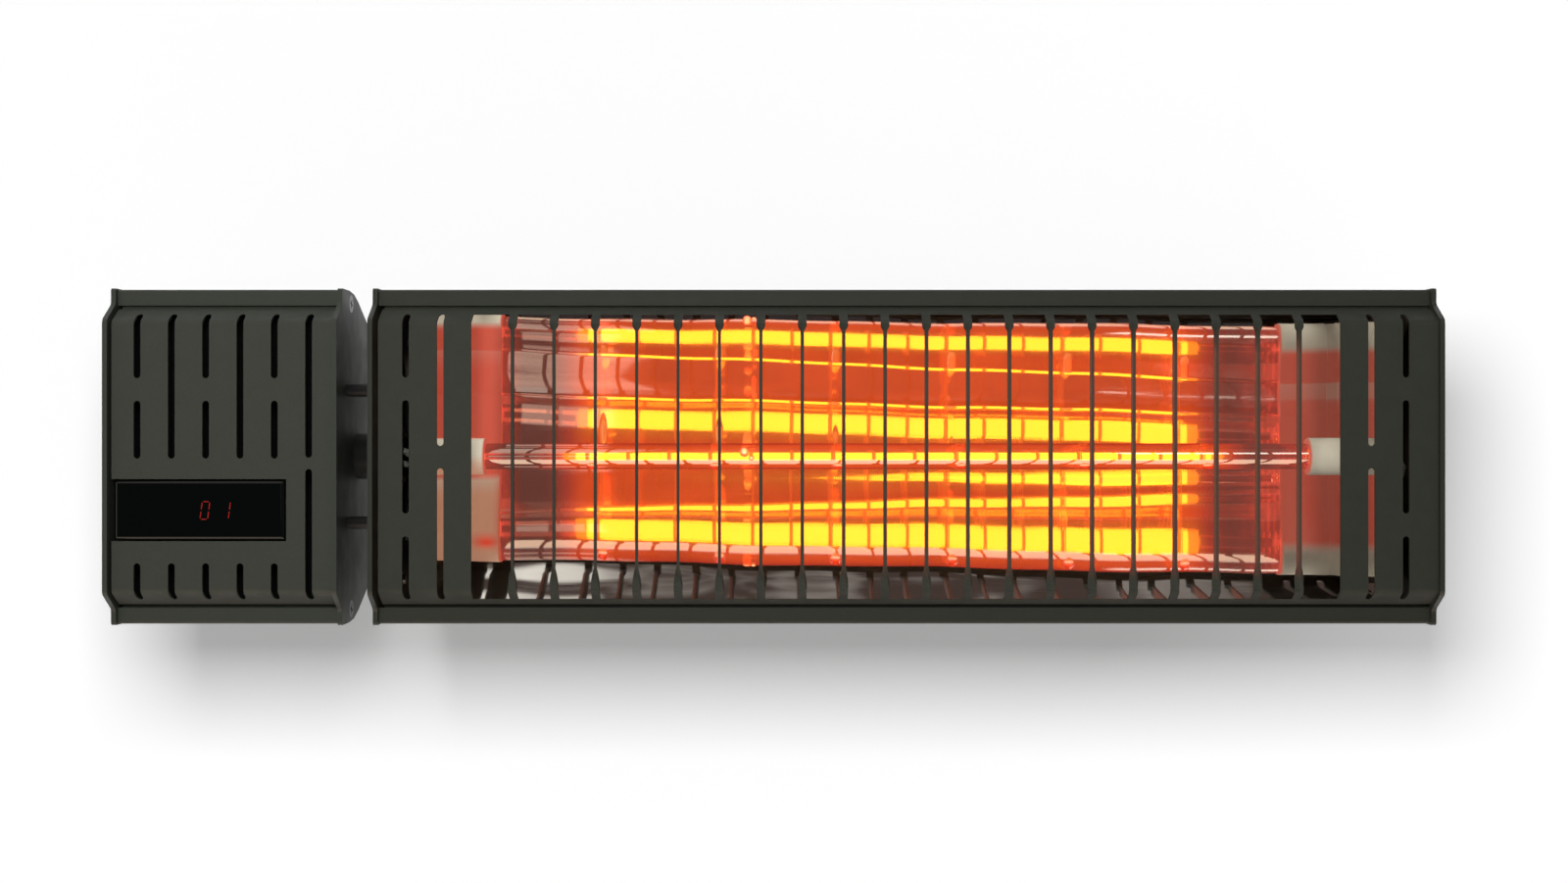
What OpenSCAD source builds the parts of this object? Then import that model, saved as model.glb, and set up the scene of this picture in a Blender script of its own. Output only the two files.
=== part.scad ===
// Wall-mounted halogen bar heater with a separate control box, in millimetres.
// X runs along the heater, Z is up, and the front faces -Y. The origin lies on the wall plane,
// behind the centre of the heater. Inside the two housings every depth is measured backwards
// from the edges of the end caps' front flanges.

/* [Housings] */
// Length of the heater over both end caps
heater_len = 438.6; // [430:0.2:460]
// Width of the control box over both end caps
control_len = 95.4; // [94:0.2:100]
// Space between the control box and the heater
box_gap = 12.5; // [11:0.5:16]
// Height over the flanges of the end caps
body_h = 139; // [138:0.5:141]
// Depth from the flange edges to the back
body_d = 63; // [62:0.5:65]
// Thickness of the extruded walls
wall_t = 2; // [1.8:0.1:2.2]
// Thickness of the end caps
cap_t = 2; // [1.8:0.1:2.4]

/* [Front panels] */
// Thickness of the panel sheets
sheet_t = 1.2; // [1:0.1:1.3]
// How far the panels stand in front of the flange edges
panel_rise = 8.7; // [8:0.1:9]
// Width of the ventilation slots
slot_w = 2.8; // [2:0.1:3.4]
// Width of the window in front of the lamp
window_w = 354.8; // [340:0.2:356]
// Height of the window, measured up the bent edges
window_h = 116.8; // [116:0.2:117.2]
// Number of twisted bars in the window
bar_count = 20; // [12:1:22]
// Width of one bar before it is twisted
bar_w = 3.5; // [3:0.1:4]
// Angle that each bar is twisted by
bar_twist = 87; // [60:1:90]

/* [Lamp and reflector] */
// Focal length of the parabolic reflector
focal = 25; // [24.6:0.1:25.4]
// Length of the reflector trough
trough_len = 424; // [420:1:426]
// Distance between the two polished end plates
end_plate_gap = 396; // [394:1:398]
// Outside diameter of the quartz tube
tube_d = 11; // [10:0.2:11]
// Length of glass between the two ceramic ends
tube_len = 346.3; // [340:0.1:348]
// How far the lamp's middle lies left of the heater's middle
lamp_shift = 2.35; // [2:0.05:2.5]
// Heated length of the filament
filament_len = 278.5; // [240:0.5:290]
// Diameter of the ceramic ends
ceramic_d = 15.7; // [15:0.1:15.8]
// Length of the ceramic ends
ceramic_len = 28; // [26:0.5:28]

/* [Display] */
// Width of the display window
display_w = 69.5; // [60:0.5:70]
// Height of the display window
display_h = 24.2; // [22:0.2:25]

/* [Wall bracket] */
// Distance from the wall to the pivot
pivot_from_wall = 28; // [27:0.5:34]
// Distance from the back of the heater to the pivot
pivot_from_back = 25; // [24:0.5:30]
// Diameter of the pivot bolt
pivot_d = 8; // [7.9:0.1:8]
// Width of the heater's half of the bracket
clevis_w = 60; // [56:1:64]
// Height of the wall plate
plate_h = 90; // [86:1:96]
// Distance between the two wall slots
wall_slot_gap = 62; // [58:1:64]
// Width of the wall slots
wall_slot_w = 7; // [6:0.5:7]
// Length of the wall slots
wall_slot_len = 16; // [12:1:18]

/* [Hidden] */
$fn = 48;
arc_step = 15;      // largest turn of one segment in a rounded outline, in degrees
fit = 0.1;          // gap between pieces that sit against each other
hairline = 0.05;    // gap round a screw in its hole
deep = 400;         // length of cutters that run right through

anthracite = [0.23, 0.235, 0.215];
black = [0.03, 0.03, 0.03];
steel = [0.72, 0.72, 0.73];

flange_y = -(pivot_from_wall + pivot_from_back + body_d);
pivot_depth = body_d + pivot_from_back;
heater_x = heater_len / 2;
control_right = -heater_x - box_gap;
control_left = control_right - control_len;
control_mid = (control_left + control_right) / 2;

// Outlines, as [depth, height, corner radius] in the upper half, from the front to the back.
cap_proud = 0.4;
top_z = body_h / 2 - cap_proud;
lip_depth = 2.5;
lip_z = 62.4;
slope_depth = 22.2;     // where the flat top turns down towards the back
slope_z = top_z;
back_z = 50.55;
slope_r = 40;
back_r = 5;
housing_half = [
    [lip_depth, lip_z, 0], [lip_depth, top_z, 1], [slope_depth, slope_z, slope_r], [body_d, back_z, back_r]
];
cap_half = [
    [-10.7, 55.9, 3], [0, 62.9, 2.5], [0, body_h / 2, 1.2],
    [slope_depth, slope_z + cap_proud, slope_r], [body_d + cap_proud, back_z + 0.3, back_r]
];
hook_depth = 4.7;
side_z = 60.9;
panel_flat = 55.4;
panel_half = [
    [hook_depth, 66, 0], [hook_depth, side_z, 1.4], [0.5, side_z, 2.4], [-panel_rise, panel_flat, 3]
];
groove_z = 63;      // inner edge of the ribs that the panels and the reflector slide between
groove_ribs = [[6, 8.8], [9.8, 11.2]];
port_depth = 17;
port_z = 64.2;
port_r = 3.4;
screw_r = 1.7;

lamp_depth = 19.3;
lamp_x = -lamp_shift;
rim_depth = 8.9;
rim_z = sqrt(4 * focal * (lamp_depth + focal - rim_depth));
trough_t = 0.8;

link_tube_depth = 30;
link_pin_depth = 9.3;
link_pin_z = 27.6;

gland_x = control_mid;
gland_r = 10;

// ---- Helpers ----

function unit(v) = v / norm(v);
function flipped(half) = [for (i = [len(half) - 1 : -1 : 0]) [half[i][0], -half[i][1], half[i][2]]];
function both_halves(half) = concat(half, flipped(half));
function cross2(u, v) = u[0] * v[1] - u[1] * v[0];

// Points of the arc of radius r that rounds corner b of the line a-b-c
function corner(a, b, c, r) =
    let (u = unit(a - b), v = unit(c - b), half = acos(u * v) / 2)
    r <= 0 || half > 89 ? [b] :
    let (
        centre = b + unit(u + v) * (r / sin(half)),
        start = b + u * (r / tan(half)) - centre,
        sweep = (cross2(u, v) > 0 ? -1 : 1) * (180 - 2 * half),
        steps = max(2, ceil(abs(sweep) / arc_step))
    )
    [for (i = [0 : steps]) let (t = sweep * i / steps)
        centre + [start[0] * cos(t) - start[1] * sin(t), start[0] * sin(t) + start[1] * cos(t)]];

function flat_point(p) = [p[0], p[1]];

// An open line of [depth, height, radius] corners, rounded
function rounded_line(path) = [
    flat_point(path[0]),
    for (i = [1 : len(path) - 2])
        each corner(flat_point(path[i - 1]), flat_point(path[i]), flat_point(path[i + 1]), path[i][2]),
    flat_point(path[len(path) - 1])
];

// A closed outline of [depth, height, radius] corners, rounded
function rounded_loop(path) = let (n = len(path)) [
    for (i = [0 : n - 1])
        each corner(flat_point(path[(i + n - 1) % n]), flat_point(path[i]),
                    flat_point(path[(i + 1) % n]), path[i][2])
];

// The same line moved sideways by t, to its left where t is positive
function moved_line(path, t) = let (n = len(path)) [
    for (i = [0 : n - 1]) let (
        p = flat_point(path[i]),
        back = i > 0 ? unit(p - flat_point(path[i - 1])) : unit(flat_point(path[1]) - p),
        ahead = i < n - 1 ? unit(flat_point(path[i + 1]) - p) : back,
        left_back = [-back[1], back[0]],
        left_ahead = [-ahead[1], ahead[0]],
        mitre = unit(left_back + left_ahead),
        q = p + mitre * t / (mitre * left_back),
        bend = cross2(back, ahead) > 0 ? -t : t
    ) [q[0], q[1], path[i][2] > 0 ? max(0, path[i][2] + bend) : 0]
];

// Section of a sheet of thickness t that follows a line
function sheet_section(path, t) =
    let (far = rounded_line(moved_line(path, t)))
    concat(rounded_line(path), [for (i = [len(far) - 1 : -1 : 0]) far[i]]);

// Places pieces of the heater and the control box, which are drawn with Y as the depth
module in_body() {
    translate([0, flange_y, 0])
        children();
}

// Extrudes a [depth, height] section from x0 to x1
module along_x(x0, x1) {
    translate([x0, 0, 0])
        rotate([90, 0, 90])
            linear_extrude(x1 - x0)
                children();
}

module box(low, high) {
    translate(low)
        cube(high - low);
}

// Round bar along X from x0 to x1 at a depth and a height
module rod_x(x0, x1, depth, z, r, r_end = -1) {
    translate([x0, depth, z])
        rotate([0, 90, 0])
            cylinder(h = x1 - x0, r1 = r, r2 = r_end < 0 ? r : r_end);
}

// Round bar along the depth from d0 to d1
module rod_y(d0, d1, x, z, r, r_end = -1) {
    translate([x, d0, z])
        rotate([-90, 0, 0])
            cylinder(h = d1 - d0, r1 = r, r2 = r_end < 0 ? r : r_end);
}

module hex_x(x0, x1, depth, z, across_flats) {
    translate([x0, depth, z])
        rotate([0, 90, 0])
            cylinder(h = x1 - x0, d = across_flats / cos(30), $fn = 6);
}

module hex_y(d0, d1, x, z, across_flats) {
    translate([x, d0, z])
        rotate([-90, 0, 0])
            cylinder(h = d1 - d0, d = across_flats / cos(30), $fn = 6);
}

// Cutter for an upright slot with round ends, through a front panel
module slot(x, z_low, z_high, w = slot_w) {
    box([x - w / 2, -20, z_low + w / 2], [x + w / 2, 0.4, z_high - w / 2]);
    rod_y(-20, 0.4, x, z_low + w / 2, w / 2);
    rod_y(-20, 0.4, x, z_high - w / 2, w / 2);
}

// Wire swept along a route of [x, depth, z] points, with eight sides
wire_sides = 8;
module wire(route, r) {
    n = len(route);
    rings = [for (i = [0 : n - 1]) let (
        ahead = unit(route[min(i + 1, n - 1)] - route[max(i - 1, 0)]),
        side = unit(cross(ahead, abs(ahead[2]) > 0.9 ? [1, 0, 0] : [0, 0, 1])),
        up = cross(side, ahead)
    ) each [for (k = [0 : wire_sides - 1]) let (a = 360 * k / wire_sides)
        route[i] + r * (cos(a) * side + sin(a) * up)]];
    skin = [for (i = [0 : n - 2], k = [0 : wire_sides - 1]) let (
        a = i * wire_sides + k,
        b = i * wire_sides + (k + 1) % wire_sides
    ) each [[a, b, b + wire_sides], [a, b + wire_sides, a + wire_sides]]];
    polyhedron(rings, concat(
        skin,
        [[for (k = [wire_sides - 1 : -1 : 0]) k]],
        [[for (k = [0 : wire_sides - 1]) (n - 1) * wire_sides + k]]
    ));
}

// ---- Housings, end caps and their screws ----

// Extruded housing from x0 to x1: the wall, the ribs of its grooves and the screw ports
module extrusion(x0, x1) {
    difference() {
        union() {
            along_x(x0, x1)
                polygon(sheet_section(both_halves(housing_half), -wall_t));
            for (side = [-1, 1]) {
                rod_x(x0, x1, port_depth, side * port_z, port_r);
                for (rib = groove_ribs)
                    box([x0, rib[0], min(side * groove_z, side * (top_z - 1))],
                        [x1, rib[1], max(side * groove_z, side * (top_z - 1))]);
            }
        }
        for (side = [-1, 1])
            rod_x(x0 - 1, x1 + 1, port_depth, side * port_z, screw_r + hairline);
    }
}

nut_w = 10;             // M6 square nuts that hold the bracket
nut_t = 5;
nut_rib_t = 1.5;
pad_h = 40;             // height of the thicker strip behind the bracket
seat_depth = body_d - 1.2;
pad_depth = body_d - 4;
clevis_h = 33.8;
clevis_bolt_x = 14;

module heater_housing() {
    inner_x = heater_x - cap_t;
    color(anthracite) in_body() difference() {
        union() {
            extrusion(-inner_x, inner_x);
            box([-inner_x, pad_depth, -pad_h / 2], [inner_x, body_d - wall_t / 2, pad_h / 2]);
            // Two inner ribs keep the nuts from turning
            for (z = [-nut_w / 2 - fit - nut_rib_t, nut_w / 2 + fit])
                box([-inner_x, pad_depth - nut_t, z], [inner_x, pad_depth + 1, z + nut_rib_t]);
        }
        // Long recess that keeps the bracket level
        box([-deep, seat_depth, -clevis_h / 2 - fit], [deep, body_d + 1, clevis_h / 2 + fit]);
        for (x = [-clevis_bolt_x, clevis_bolt_x])
            rod_y(50, body_d + 1, x, 0, 3.2);
    }
}

module control_housing() {
    color(anthracite) in_body() difference() {
        extrusion(control_left + cap_t, control_right - cap_t);
        rod_y(50, body_d + 1, gland_x, 0, gland_r + fit);
    }
}

sink_r = 3.75;
sink_t = 1.9;

// Flat end cap whose outer face is at x, on the side that points along dir
module end_cap(x, dir) {
    difference() {
        along_x(min(x, x - dir * cap_t), max(x, x - dir * cap_t))
            polygon(rounded_loop(both_halves(cap_half)));
        for (z = [-port_z, port_z])
            translate([x, port_depth, z])
                rotate([0, -90 * dir, 0]) {
                    translate([0, 0, -hairline])
                        cylinder(h = sink_t + hairline, r1 = sink_r + hairline, r2 = screw_r + 0.3);
                    cylinder(h = 10, r = screw_r + 0.3);
                }
    }
}

// Holes for the tube and the two spacer screws that join the boxes
module link_holes() {
    rod_x(-heater_x - box_gap - 5, -heater_x + 5, link_tube_depth, 0, 8.2 + fit);
    for (z = [-link_pin_z, link_pin_z])
        rod_x(-heater_x - box_gap - 5, -heater_x + 5, link_pin_depth, z, 1.5 + fit);
}

module heater_cap_left() {
    color(anthracite) in_body() difference() {
        end_cap(-heater_x, -1);
        link_holes();
    }
}

module heater_cap_right() {
    color(anthracite) in_body() end_cap(heater_x, 1);
}

module control_cap_left() {
    color(anthracite) in_body() end_cap(control_left, -1);
}

module control_cap_right() {
    color(anthracite) in_body() difference() {
        end_cap(control_right, 1);
        link_holes();
    }
}

module cap_screws() {
    head_r = sink_r - hairline;
    color(steel) in_body()
        for (end = [[-heater_x, -1], [heater_x, 1], [control_left, -1], [control_right, 1]])
            for (z = [-port_z, port_z])
                translate([end[0], port_depth, z])
                    rotate([0, -90 * end[1], 0])
                        difference() {
                            union() {
                                cylinder(h = sink_t, r1 = head_r, r2 = screw_r);
                                cylinder(h = 12, r = screw_r);
                            }
                            for (turn = [0, 90])
                                rotate([0, 0, turn + 20])
                                    translate([-0.45, -2.1, -1])
                                        cube([0.9, 4.2, 2.3]);
                        }
}

// ---- Front panels ----

module panel_sheet(x0, x1) {
    along_x(x0, x1)
        polygon(sheet_section(both_halves(panel_half), sheet_t));
}

// Middle of the panel's bent edge at height z, as a depth
bend_slope = (panel_rise + 0.5) / (side_z - panel_flat);
function edge_depth(z) = -panel_rise + sheet_t / 2 + max(0, abs(z) - panel_flat) * bend_slope;

top_twist_end = 51.4;       // each bar is fully twisted from here ...
low_twist_start = -44.8;    // ... down to here, and turns back over a longer stretch
bar_steps = 6;
window_edge = window_h / 2;
bar_end = window_edge + 0.35;

// One bar: rings of four corners from the top of the window to its foot
module twisted_bar(x) {
    heights = concat(
        [bar_end, panel_flat + 0.4],
        [for (i = [0 : bar_steps]) panel_flat - 0.6 - (panel_flat - 0.6 - top_twist_end) * i / bar_steps],
        [for (i = [0 : bar_steps]) low_twist_start - (panel_flat - 0.6 + low_twist_start) * i / bar_steps],
        [-panel_flat - 0.4, -bar_end]
    );
    function twist(z) = -bar_twist * max(0, min(1, z > 0
        ? (panel_flat - 0.6 - z) / (panel_flat - 0.6 - top_twist_end)
        : (panel_flat - 0.6 + z) / (panel_flat - 0.6 + low_twist_start)));
    rings = [for (z = heights) each [for (q = [[-1, -1], [1, -1], [1, 1], [-1, 1]]) let (
        a = twist(z),
        w = q[0] * bar_w / 2,
        t = q[1] * sheet_t / 2
    ) [x + w * cos(a) - t * sin(a), edge_depth(z) + w * sin(a) + t * cos(a), z]]];
    n = len(heights);
    skin = [for (i = [0 : n - 2], k = [0 : 3]) let (a = 4 * i + k, b = 4 * i + (k + 1) % 4)
        each [[a, b, b + 4], [a, b + 4, a + 4]]];
    polyhedron(rings, concat(skin, [[3, 2, 1, 0], [4 * n - 4, 4 * n - 3, 4 * n - 2, 4 * n - 1]]));
}

outer_column = 204.1;
inner_column = 190;
edge_z = 58.5;          // where the slots end on the bent edges

module heater_guard() {
    color(anthracite) in_body() {
        difference() {
            panel_sheet(-heater_x + cap_t + 2, heater_x - cap_t - fit);
            box([-window_w / 2, -20, -window_edge], [window_w / 2, 0.4, window_edge]);
            for (side = [-1, 1]) {
                slot(side * outer_column, 32.4, edge_z);
                slot(side * outer_column, -23.1, 23.1);
                slot(side * outer_column, -edge_z, -32.4);
                slot(side * inner_column, 4.5, edge_z);
                slot(side * inner_column, -edge_z, -4.6);
            }
        }
        for (i = [1 : bar_count])
            twisted_bar(-window_w / 2 + i * window_w / (bar_count + 1));
    }
}

column_gap = 14;
column_first = -34.1;
display_left = control_left + cap_t + 2.4;
display_top = -9.6;
notch_gap = 0.55;

module control_panel() {
    panel_left = control_left + cap_t + 1.2;
    color(anthracite) in_body() difference() {
        panel_sheet(panel_left, control_right - cap_t - fit);
        for (i = [0 : 5]) {
            x = control_mid + column_first + i * column_gap;
            if (i == 5) {
                slot(x, -0.3, edge_z);
                slot(x, -edge_z, -4.9);
            } else {
                slot(x, -edge_z, -43.4);
                if (i % 2 == 0) {
                    slot(x, 32.1, edge_z);
                    slot(x, -0.7, 22.9);
                } else {
                    slot(x, -0.7, edge_z);
                }
            }
        }
        box([panel_left - 1, -20, display_top - display_h - notch_gap],
            [display_left + display_w + notch_gap, 0.4, display_top + notch_gap]);
    }
}

// ---- Reflector and lamp ----

// Mirror line of the trough, from its upper flange round to the lower one
function mirror_depth(z) = lamp_depth + focal - z * z / (4 * focal);
mirror_steps = 28;
mirror_line = [for (i = [0 : mirror_steps]) let (z = rim_z * (1 - 2 * i / mirror_steps)) [mirror_depth(z), z, 0]];

flange_tip = 66;        // how high a sheet reaches into the grooves at both edges

module reflector() {
    notch = [7.5, 7];       // length and height of the notch that the right lamp wire comes through
    color([0.93, 0.93, 0.92]) in_body() difference() {
        along_x(-trough_len / 2, trough_len / 2)
            polygon(sheet_section(concat(
                [[rim_depth, flange_tip, 0]], mirror_line, [[rim_depth, -flange_tip, 0]]), trough_t));
        box([-trough_len / 2 - 1, 38, -2 - notch[1]], [-trough_len / 2 + notch[0], 48, -2]);
    }
}

plate_t = 0.8;

// End plate across the trough, with a lip at the front that stiffens it
module end_plate(x, dir) {
    color([0.9, 0.9, 0.89]) in_body() {
        difference() {
            along_x(min(x, x + dir * plate_t), max(x, x + dir * plate_t))
                polygon([for (p = mirror_line) [p[0] - hairline, p[1] * (1 - hairline / rim_z)]]);
            rod_x(x - 5, x + 5, lamp_depth, 0, ceramic_d / 2 + fit);
        }
        box([min(x, x + dir * 8), rim_depth - plate_t, -48], [max(x, x + dir * 8), rim_depth, 48]);
    }
}

module reflector_end_left() {
    end_plate(-end_plate_gap / 2, -1);
}

module reflector_end_right() {
    end_plate(end_plate_gap / 2, 1);
}

tube_r = tube_d / 2;
glass_t = 1;
socket_r = tube_r + 0.2;
socket_len = 14;
tube_in = 4;            // how far the glass goes into each ceramic end
pinch_len = 8;

module lamp_tube() {
    half = tube_len / 2 + tube_in;
    color([0.85, 0.3, 0.15, 0.5]) in_body() translate([lamp_x, 0, 0]) {
        difference() {
            rod_x(-half, half, lamp_depth, 0, tube_r);
            rod_x(-half + 1, half - 1, lamp_depth, 0, tube_r - glass_t);
        }
        // Pressed flat seals at both ends
        for (side = [-1, 1])
            translate([side * (half + pinch_len / 2), lamp_depth, 0])
                cube([pinch_len, 2.6, 9], center = true);
        // Sealed-off filling tip
        translate([-64, lamp_depth, 0])
            rotate([20, 0, 0])
                rod_y(-tube_r - 2.4, -tube_r + 0.4, 0, 0, 0.5, 1.5);
    }
}

filament_r = 1.7;
filament_mid = -3.5;
support_count = 16;
support_gap = 51.8 / 3;
support_first = -132.6;

module lamp_filament() {
    half = filament_len / 2;
    color([1, 0.75, 0.1]) in_body() translate([filament_mid, 0, 0]) {
        rod_x(-half, half, lamp_depth, 0, filament_r);
        for (side = [-1, 1])
            rod_x(min(side * half, side * (half + 35)) + (side < 0 ? 2 : 0),
                  max(side * half, side * (half + 35)) - (side > 0 ? 0.5 : 0), lamp_depth, 0, 0.6);
    }
}

// Rings round the filament, of which every third reaches out to the glass
module filament_supports() {
    color([0.8, 0.5, 0.2]) in_body()
        for (i = [0 : support_count - 1]) {
            x = support_first + i * support_gap;
            difference() {
                rod_x(x - 0.3, x + 0.3, lamp_depth, 0, i % 3 == 0 ? tube_r - glass_t - hairline : 2.4);
                rod_x(x - 1, x + 1, lamp_depth, 0, filament_r + hairline);
            }
        }
}

wire_r = 1.5;

// Ceramic end with the socket for the glass and the hole for the wire
module ceramic(dir) {
    face = lamp_x + dir * tube_len / 2;
    tail = face + dir * ceramic_len;
    color([0.86, 0.85, 0.8]) in_body() difference() {
        rod_x(min(face, tail), max(face, tail), lamp_depth, 0, ceramic_d / 2);
        rod_x(min(face - dir, face + dir * socket_len), max(face - dir, face + dir * socket_len),
              lamp_depth, 0, socket_r);
        rod_x(min(face, tail + dir), max(face, tail + dir), lamp_depth, 0, wire_r + fit);
    }
}

module lamp_ceramic_left() {
    ceramic(-1);
}

module lamp_ceramic_right() {
    ceramic(1);
}

// Insulated lamp wires through the joining tube to the terminal block in the control box
terminal_x = control_mid - 4;
terminal_z = -34;
terminal_d = [42, 60.9];        // front and back of the terminal block
terminal_pitch = 9;
terminal_entry = [terminal_d[0] + 4, terminal_z + 7 + fit];   // depth and height where wires go in

module lamp_wire_left() {
    end_x = terminal_x + terminal_pitch;
    color([0.85, 0.85, 0.82]) in_body()
        wire([[-192, lamp_depth, 0], [-204.5, lamp_depth, 0], [-207.2, 20.6, 0.5], [-209.3, 23.2, 1.4],
              [-211.3, 26.2, 2.2], [-214, 28.9, 3], [-218, 30, 3.2], [-226, 30, 3.2], [-244, 30, 3.2],
              [-252, 30.8, 3], [-260, 33, 1], [-266.5, 36.5, -3], [-271, 40.5, -9], [-273.8, 44, -15.5],
              [end_x, 46, -21.5], [end_x, terminal_entry[0], terminal_entry[1]]], wire_r);
}

module lamp_wire_right() {
    end_x = terminal_x + 2 * terminal_pitch;
    color([0.85, 0.85, 0.82]) in_body()
        wire([[187, lamp_depth, 0], [203.5, lamp_depth, 0], [207.5, 19.8, -0.3], [211, 22, -2],
              [213.6, 26, -4.5], [214.6, 31, -7.5], [214.6, 38, -12], [214.4, 45, -14.6], [212.8, 49.5, -15],
              [209, 51.8, -15], [203, 52, -15], [120, 52, -15], [40, 52, -15], [-40, 52, -15],
              [-120, 52, -15], [-194, 52, -15], [-201, 51.6, -13.5], [-206, 49.6, -9.4], [-208.1, 46, -6.2],
              [-208.3, 41, -5.3], [-208.3, 36.5, -4.8], [-209.3, 33.2, -4], [-211.6, 31, -3.4],
              [-216, 30, -3.2], [-226, 30, -3.2], [-244, 30, -3.2], [-249, 30.8, -4.2], [-254.5, 33.5, -7.5],
              [-259, 37.5, -12], [-262.7, 41.8, -16.5], [-265, 45, -20.5], [end_x, 46, -23.4],
              [end_x, terminal_entry[0], terminal_entry[1]]], wire_r);
}

// ---- Display and electronics in the control box ----

window_t = 2.2;
window_front = -panel_rise - 0.9;
bevel = 1;

module display_window() {
    x0 = display_left;
    x1 = display_left + display_w;
    z1 = display_top;
    z0 = display_top - display_h;
    front = window_front;
    back = window_front + window_t;
    color([0.03, 0.04, 0.04]) in_body() intersection() {
        along_x(x0, x1)
            polygon([[back, z0], [back, z1], [front + bevel, z1], [front, z1 - bevel],
                     [front, z0 + bevel], [front + bevel, z0]]);
        translate([0, 0, z0])
            linear_extrude(z1 - z0)
                polygon([[x0, back], [x1, back], [x1, front + bevel], [x1 - bevel, front],
                         [x0 + bevel, front], [x0, front + bevel]]);
    }
}

box_front = window_front + window_t;
box_wall = 1.6;
box_depth = 12;

// Box behind the window that holds the display board
module display_housing() {
    x0 = display_left + 0.5;
    x1 = display_left + display_w - 0.5;
    z1 = display_top - 0.5;
    z0 = display_top - display_h + 0.5;
    back = box_front + box_depth;
    color(black) in_body() difference() {
        box([x0, box_front, z0], [x1, back, z1]);
        box([x0 + box_wall, box_front - 1, z0 + box_wall], [x1 - box_wall, back - box_wall, z1 - box_wall]);
        box([x0 + 25, back - 5, z0 + 8], [x1 - 25, back + 1, z1 - 8]);
    }
}

module display_board() {
    x0 = display_left + 0.5 + box_wall + fit;
    x1 = display_left + display_w - 0.5 - box_wall - fit;
    z1 = display_top - 0.5 - box_wall - fit;
    z0 = display_top - display_h + 0.5 + box_wall + fit;
    back = box_front + box_depth - box_wall;
    color([0.1, 0.35, 0.2]) in_body()
        box([x0, back - 1.6, z0], [x1, back, z1]);
}

module digit_module() {
    mid_x = display_left + display_w / 2 + 3;
    mid_z = display_top - display_h / 2;
    back = box_front + box_depth - box_wall - 1.6;
    color([0.12, 0.12, 0.12]) in_body()
        box([mid_x - 25, back - 7.6, mid_z - 8], [mid_x + 25, back, mid_z + 8]);
}

sheet_right = control_right - 7.5;      // leaves room for the heads of the link screws
air_slot_w = 2.5;
air_slot_z = 50;
air_slot_shift = 5;     // the air slots stand beside the panel's slots, so nothing falls straight in

// Insulating sheet in the groove that holds the reflector in the heater
module insulating_sheet() {
    color(black) in_body() difference() {
        box([control_left + cap_t + fit, rim_depth, -flange_tip], [sheet_right, rim_depth + trough_t, flange_tip]);
        for (i = [0 : 4]) {
            x = control_mid + column_first + i * column_gap + air_slot_shift;
            box([x - air_slot_w / 2, 0, -air_slot_z], [x + air_slot_w / 2, 20, air_slot_z]);
        }
    }
}

board_x = [control_left + 7, control_right - 12];
board_z = [14, 54];
board_d = [44, 45.6];
board_holes_x = [board_x[0] + 5, board_x[1] - 5];
board_holes_z = [board_z[0] + 5, board_z[1] - 13];

module power_board() {
    color([0.12, 0.38, 0.22]) in_body()
        difference() {
            box([board_x[0], board_d[0], board_z[0]], [board_x[1], board_d[1], board_z[1]]);
            for (x = board_holes_x, z = board_holes_z)
                rod_y(40, 50, x, z, 1.6);
        }
}

// Spacers with screws in one piece between the board and the back wall
module board_standoffs() {
    color(steel) in_body()
        for (x = board_holes_x, z = board_holes_z) {
            rod_y(board_d[1], body_d - wall_t, x, z, 3);
            rod_y(board_d[0] - 1.8, board_d[1] + 1, x, z, 1.5);
            rod_y(board_d[0] - 1.8, board_d[0], x, z, 2.8);
        }
}

module relays() {
    color([0.1, 0.15, 0.4]) in_body()
        for (i = [0, 1])
            box([board_x[0] + 11 + i * 21, board_d[0] - 15.5, 33], [board_x[0] + 30 + i * 21, board_d[0], 48.5]);
}

module capacitor() {
    color([0.75, 0.65, 0.1]) in_body()
        box([board_x[0] + 11, board_d[0] - 14, 17], [board_x[0] + 29, board_d[0], 26]);
}

module transformer() {
    x = board_x[1] - 24;
    color([0.2, 0.2, 0.2]) in_body() {
        box([x - 9, board_d[0] - 12, 16.5], [x + 9, board_d[0], 29.5]);
        box([x - 12, board_d[0] - 9, 18.5], [x + 12, board_d[0] - 3, 27.5]);
    }
}

// Finned heat sink of the power switch
module heatsink() {
    x0 = board_x[1] - 20;
    color([0.75, 0.76, 0.77]) in_body() {
        box([x0, board_d[0] - 22, 33], [x0 + 3, board_d[0], 49]);
        for (i = [0 : 4])
            box([x0 + 2, board_d[0] - 22 + i * 4.6, 33], [x0 + 12, board_d[0] - 20.6 + i * 4.6, 49]);
    }
}

module terminal_block() {
    poles = 5;
    pitch = terminal_pitch;
    x0 = terminal_x - poles * pitch / 2;
    color([0.9, 0.9, 0.86]) in_body() difference() {
        union() {
            box([x0, terminal_d[0] + 7, terminal_z - 10], [x0 + poles * pitch, terminal_d[1], terminal_z + 10]);
            for (i = [0 : poles - 1])
                box([x0 + i * pitch + 0.6, terminal_d[0], terminal_z - 7],
                    [x0 + (i + 1) * pitch - 0.6, terminal_d[0] + 8, terminal_z + 7]);
        }
        for (i = [0 : poles - 1], side = [-1, 1])
            rod_y(terminal_d[0] - 1, terminal_d[0] + 5, x0 + (i + 0.5) * pitch, terminal_z + side * 4.2, 1.3);
    }
}

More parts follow.
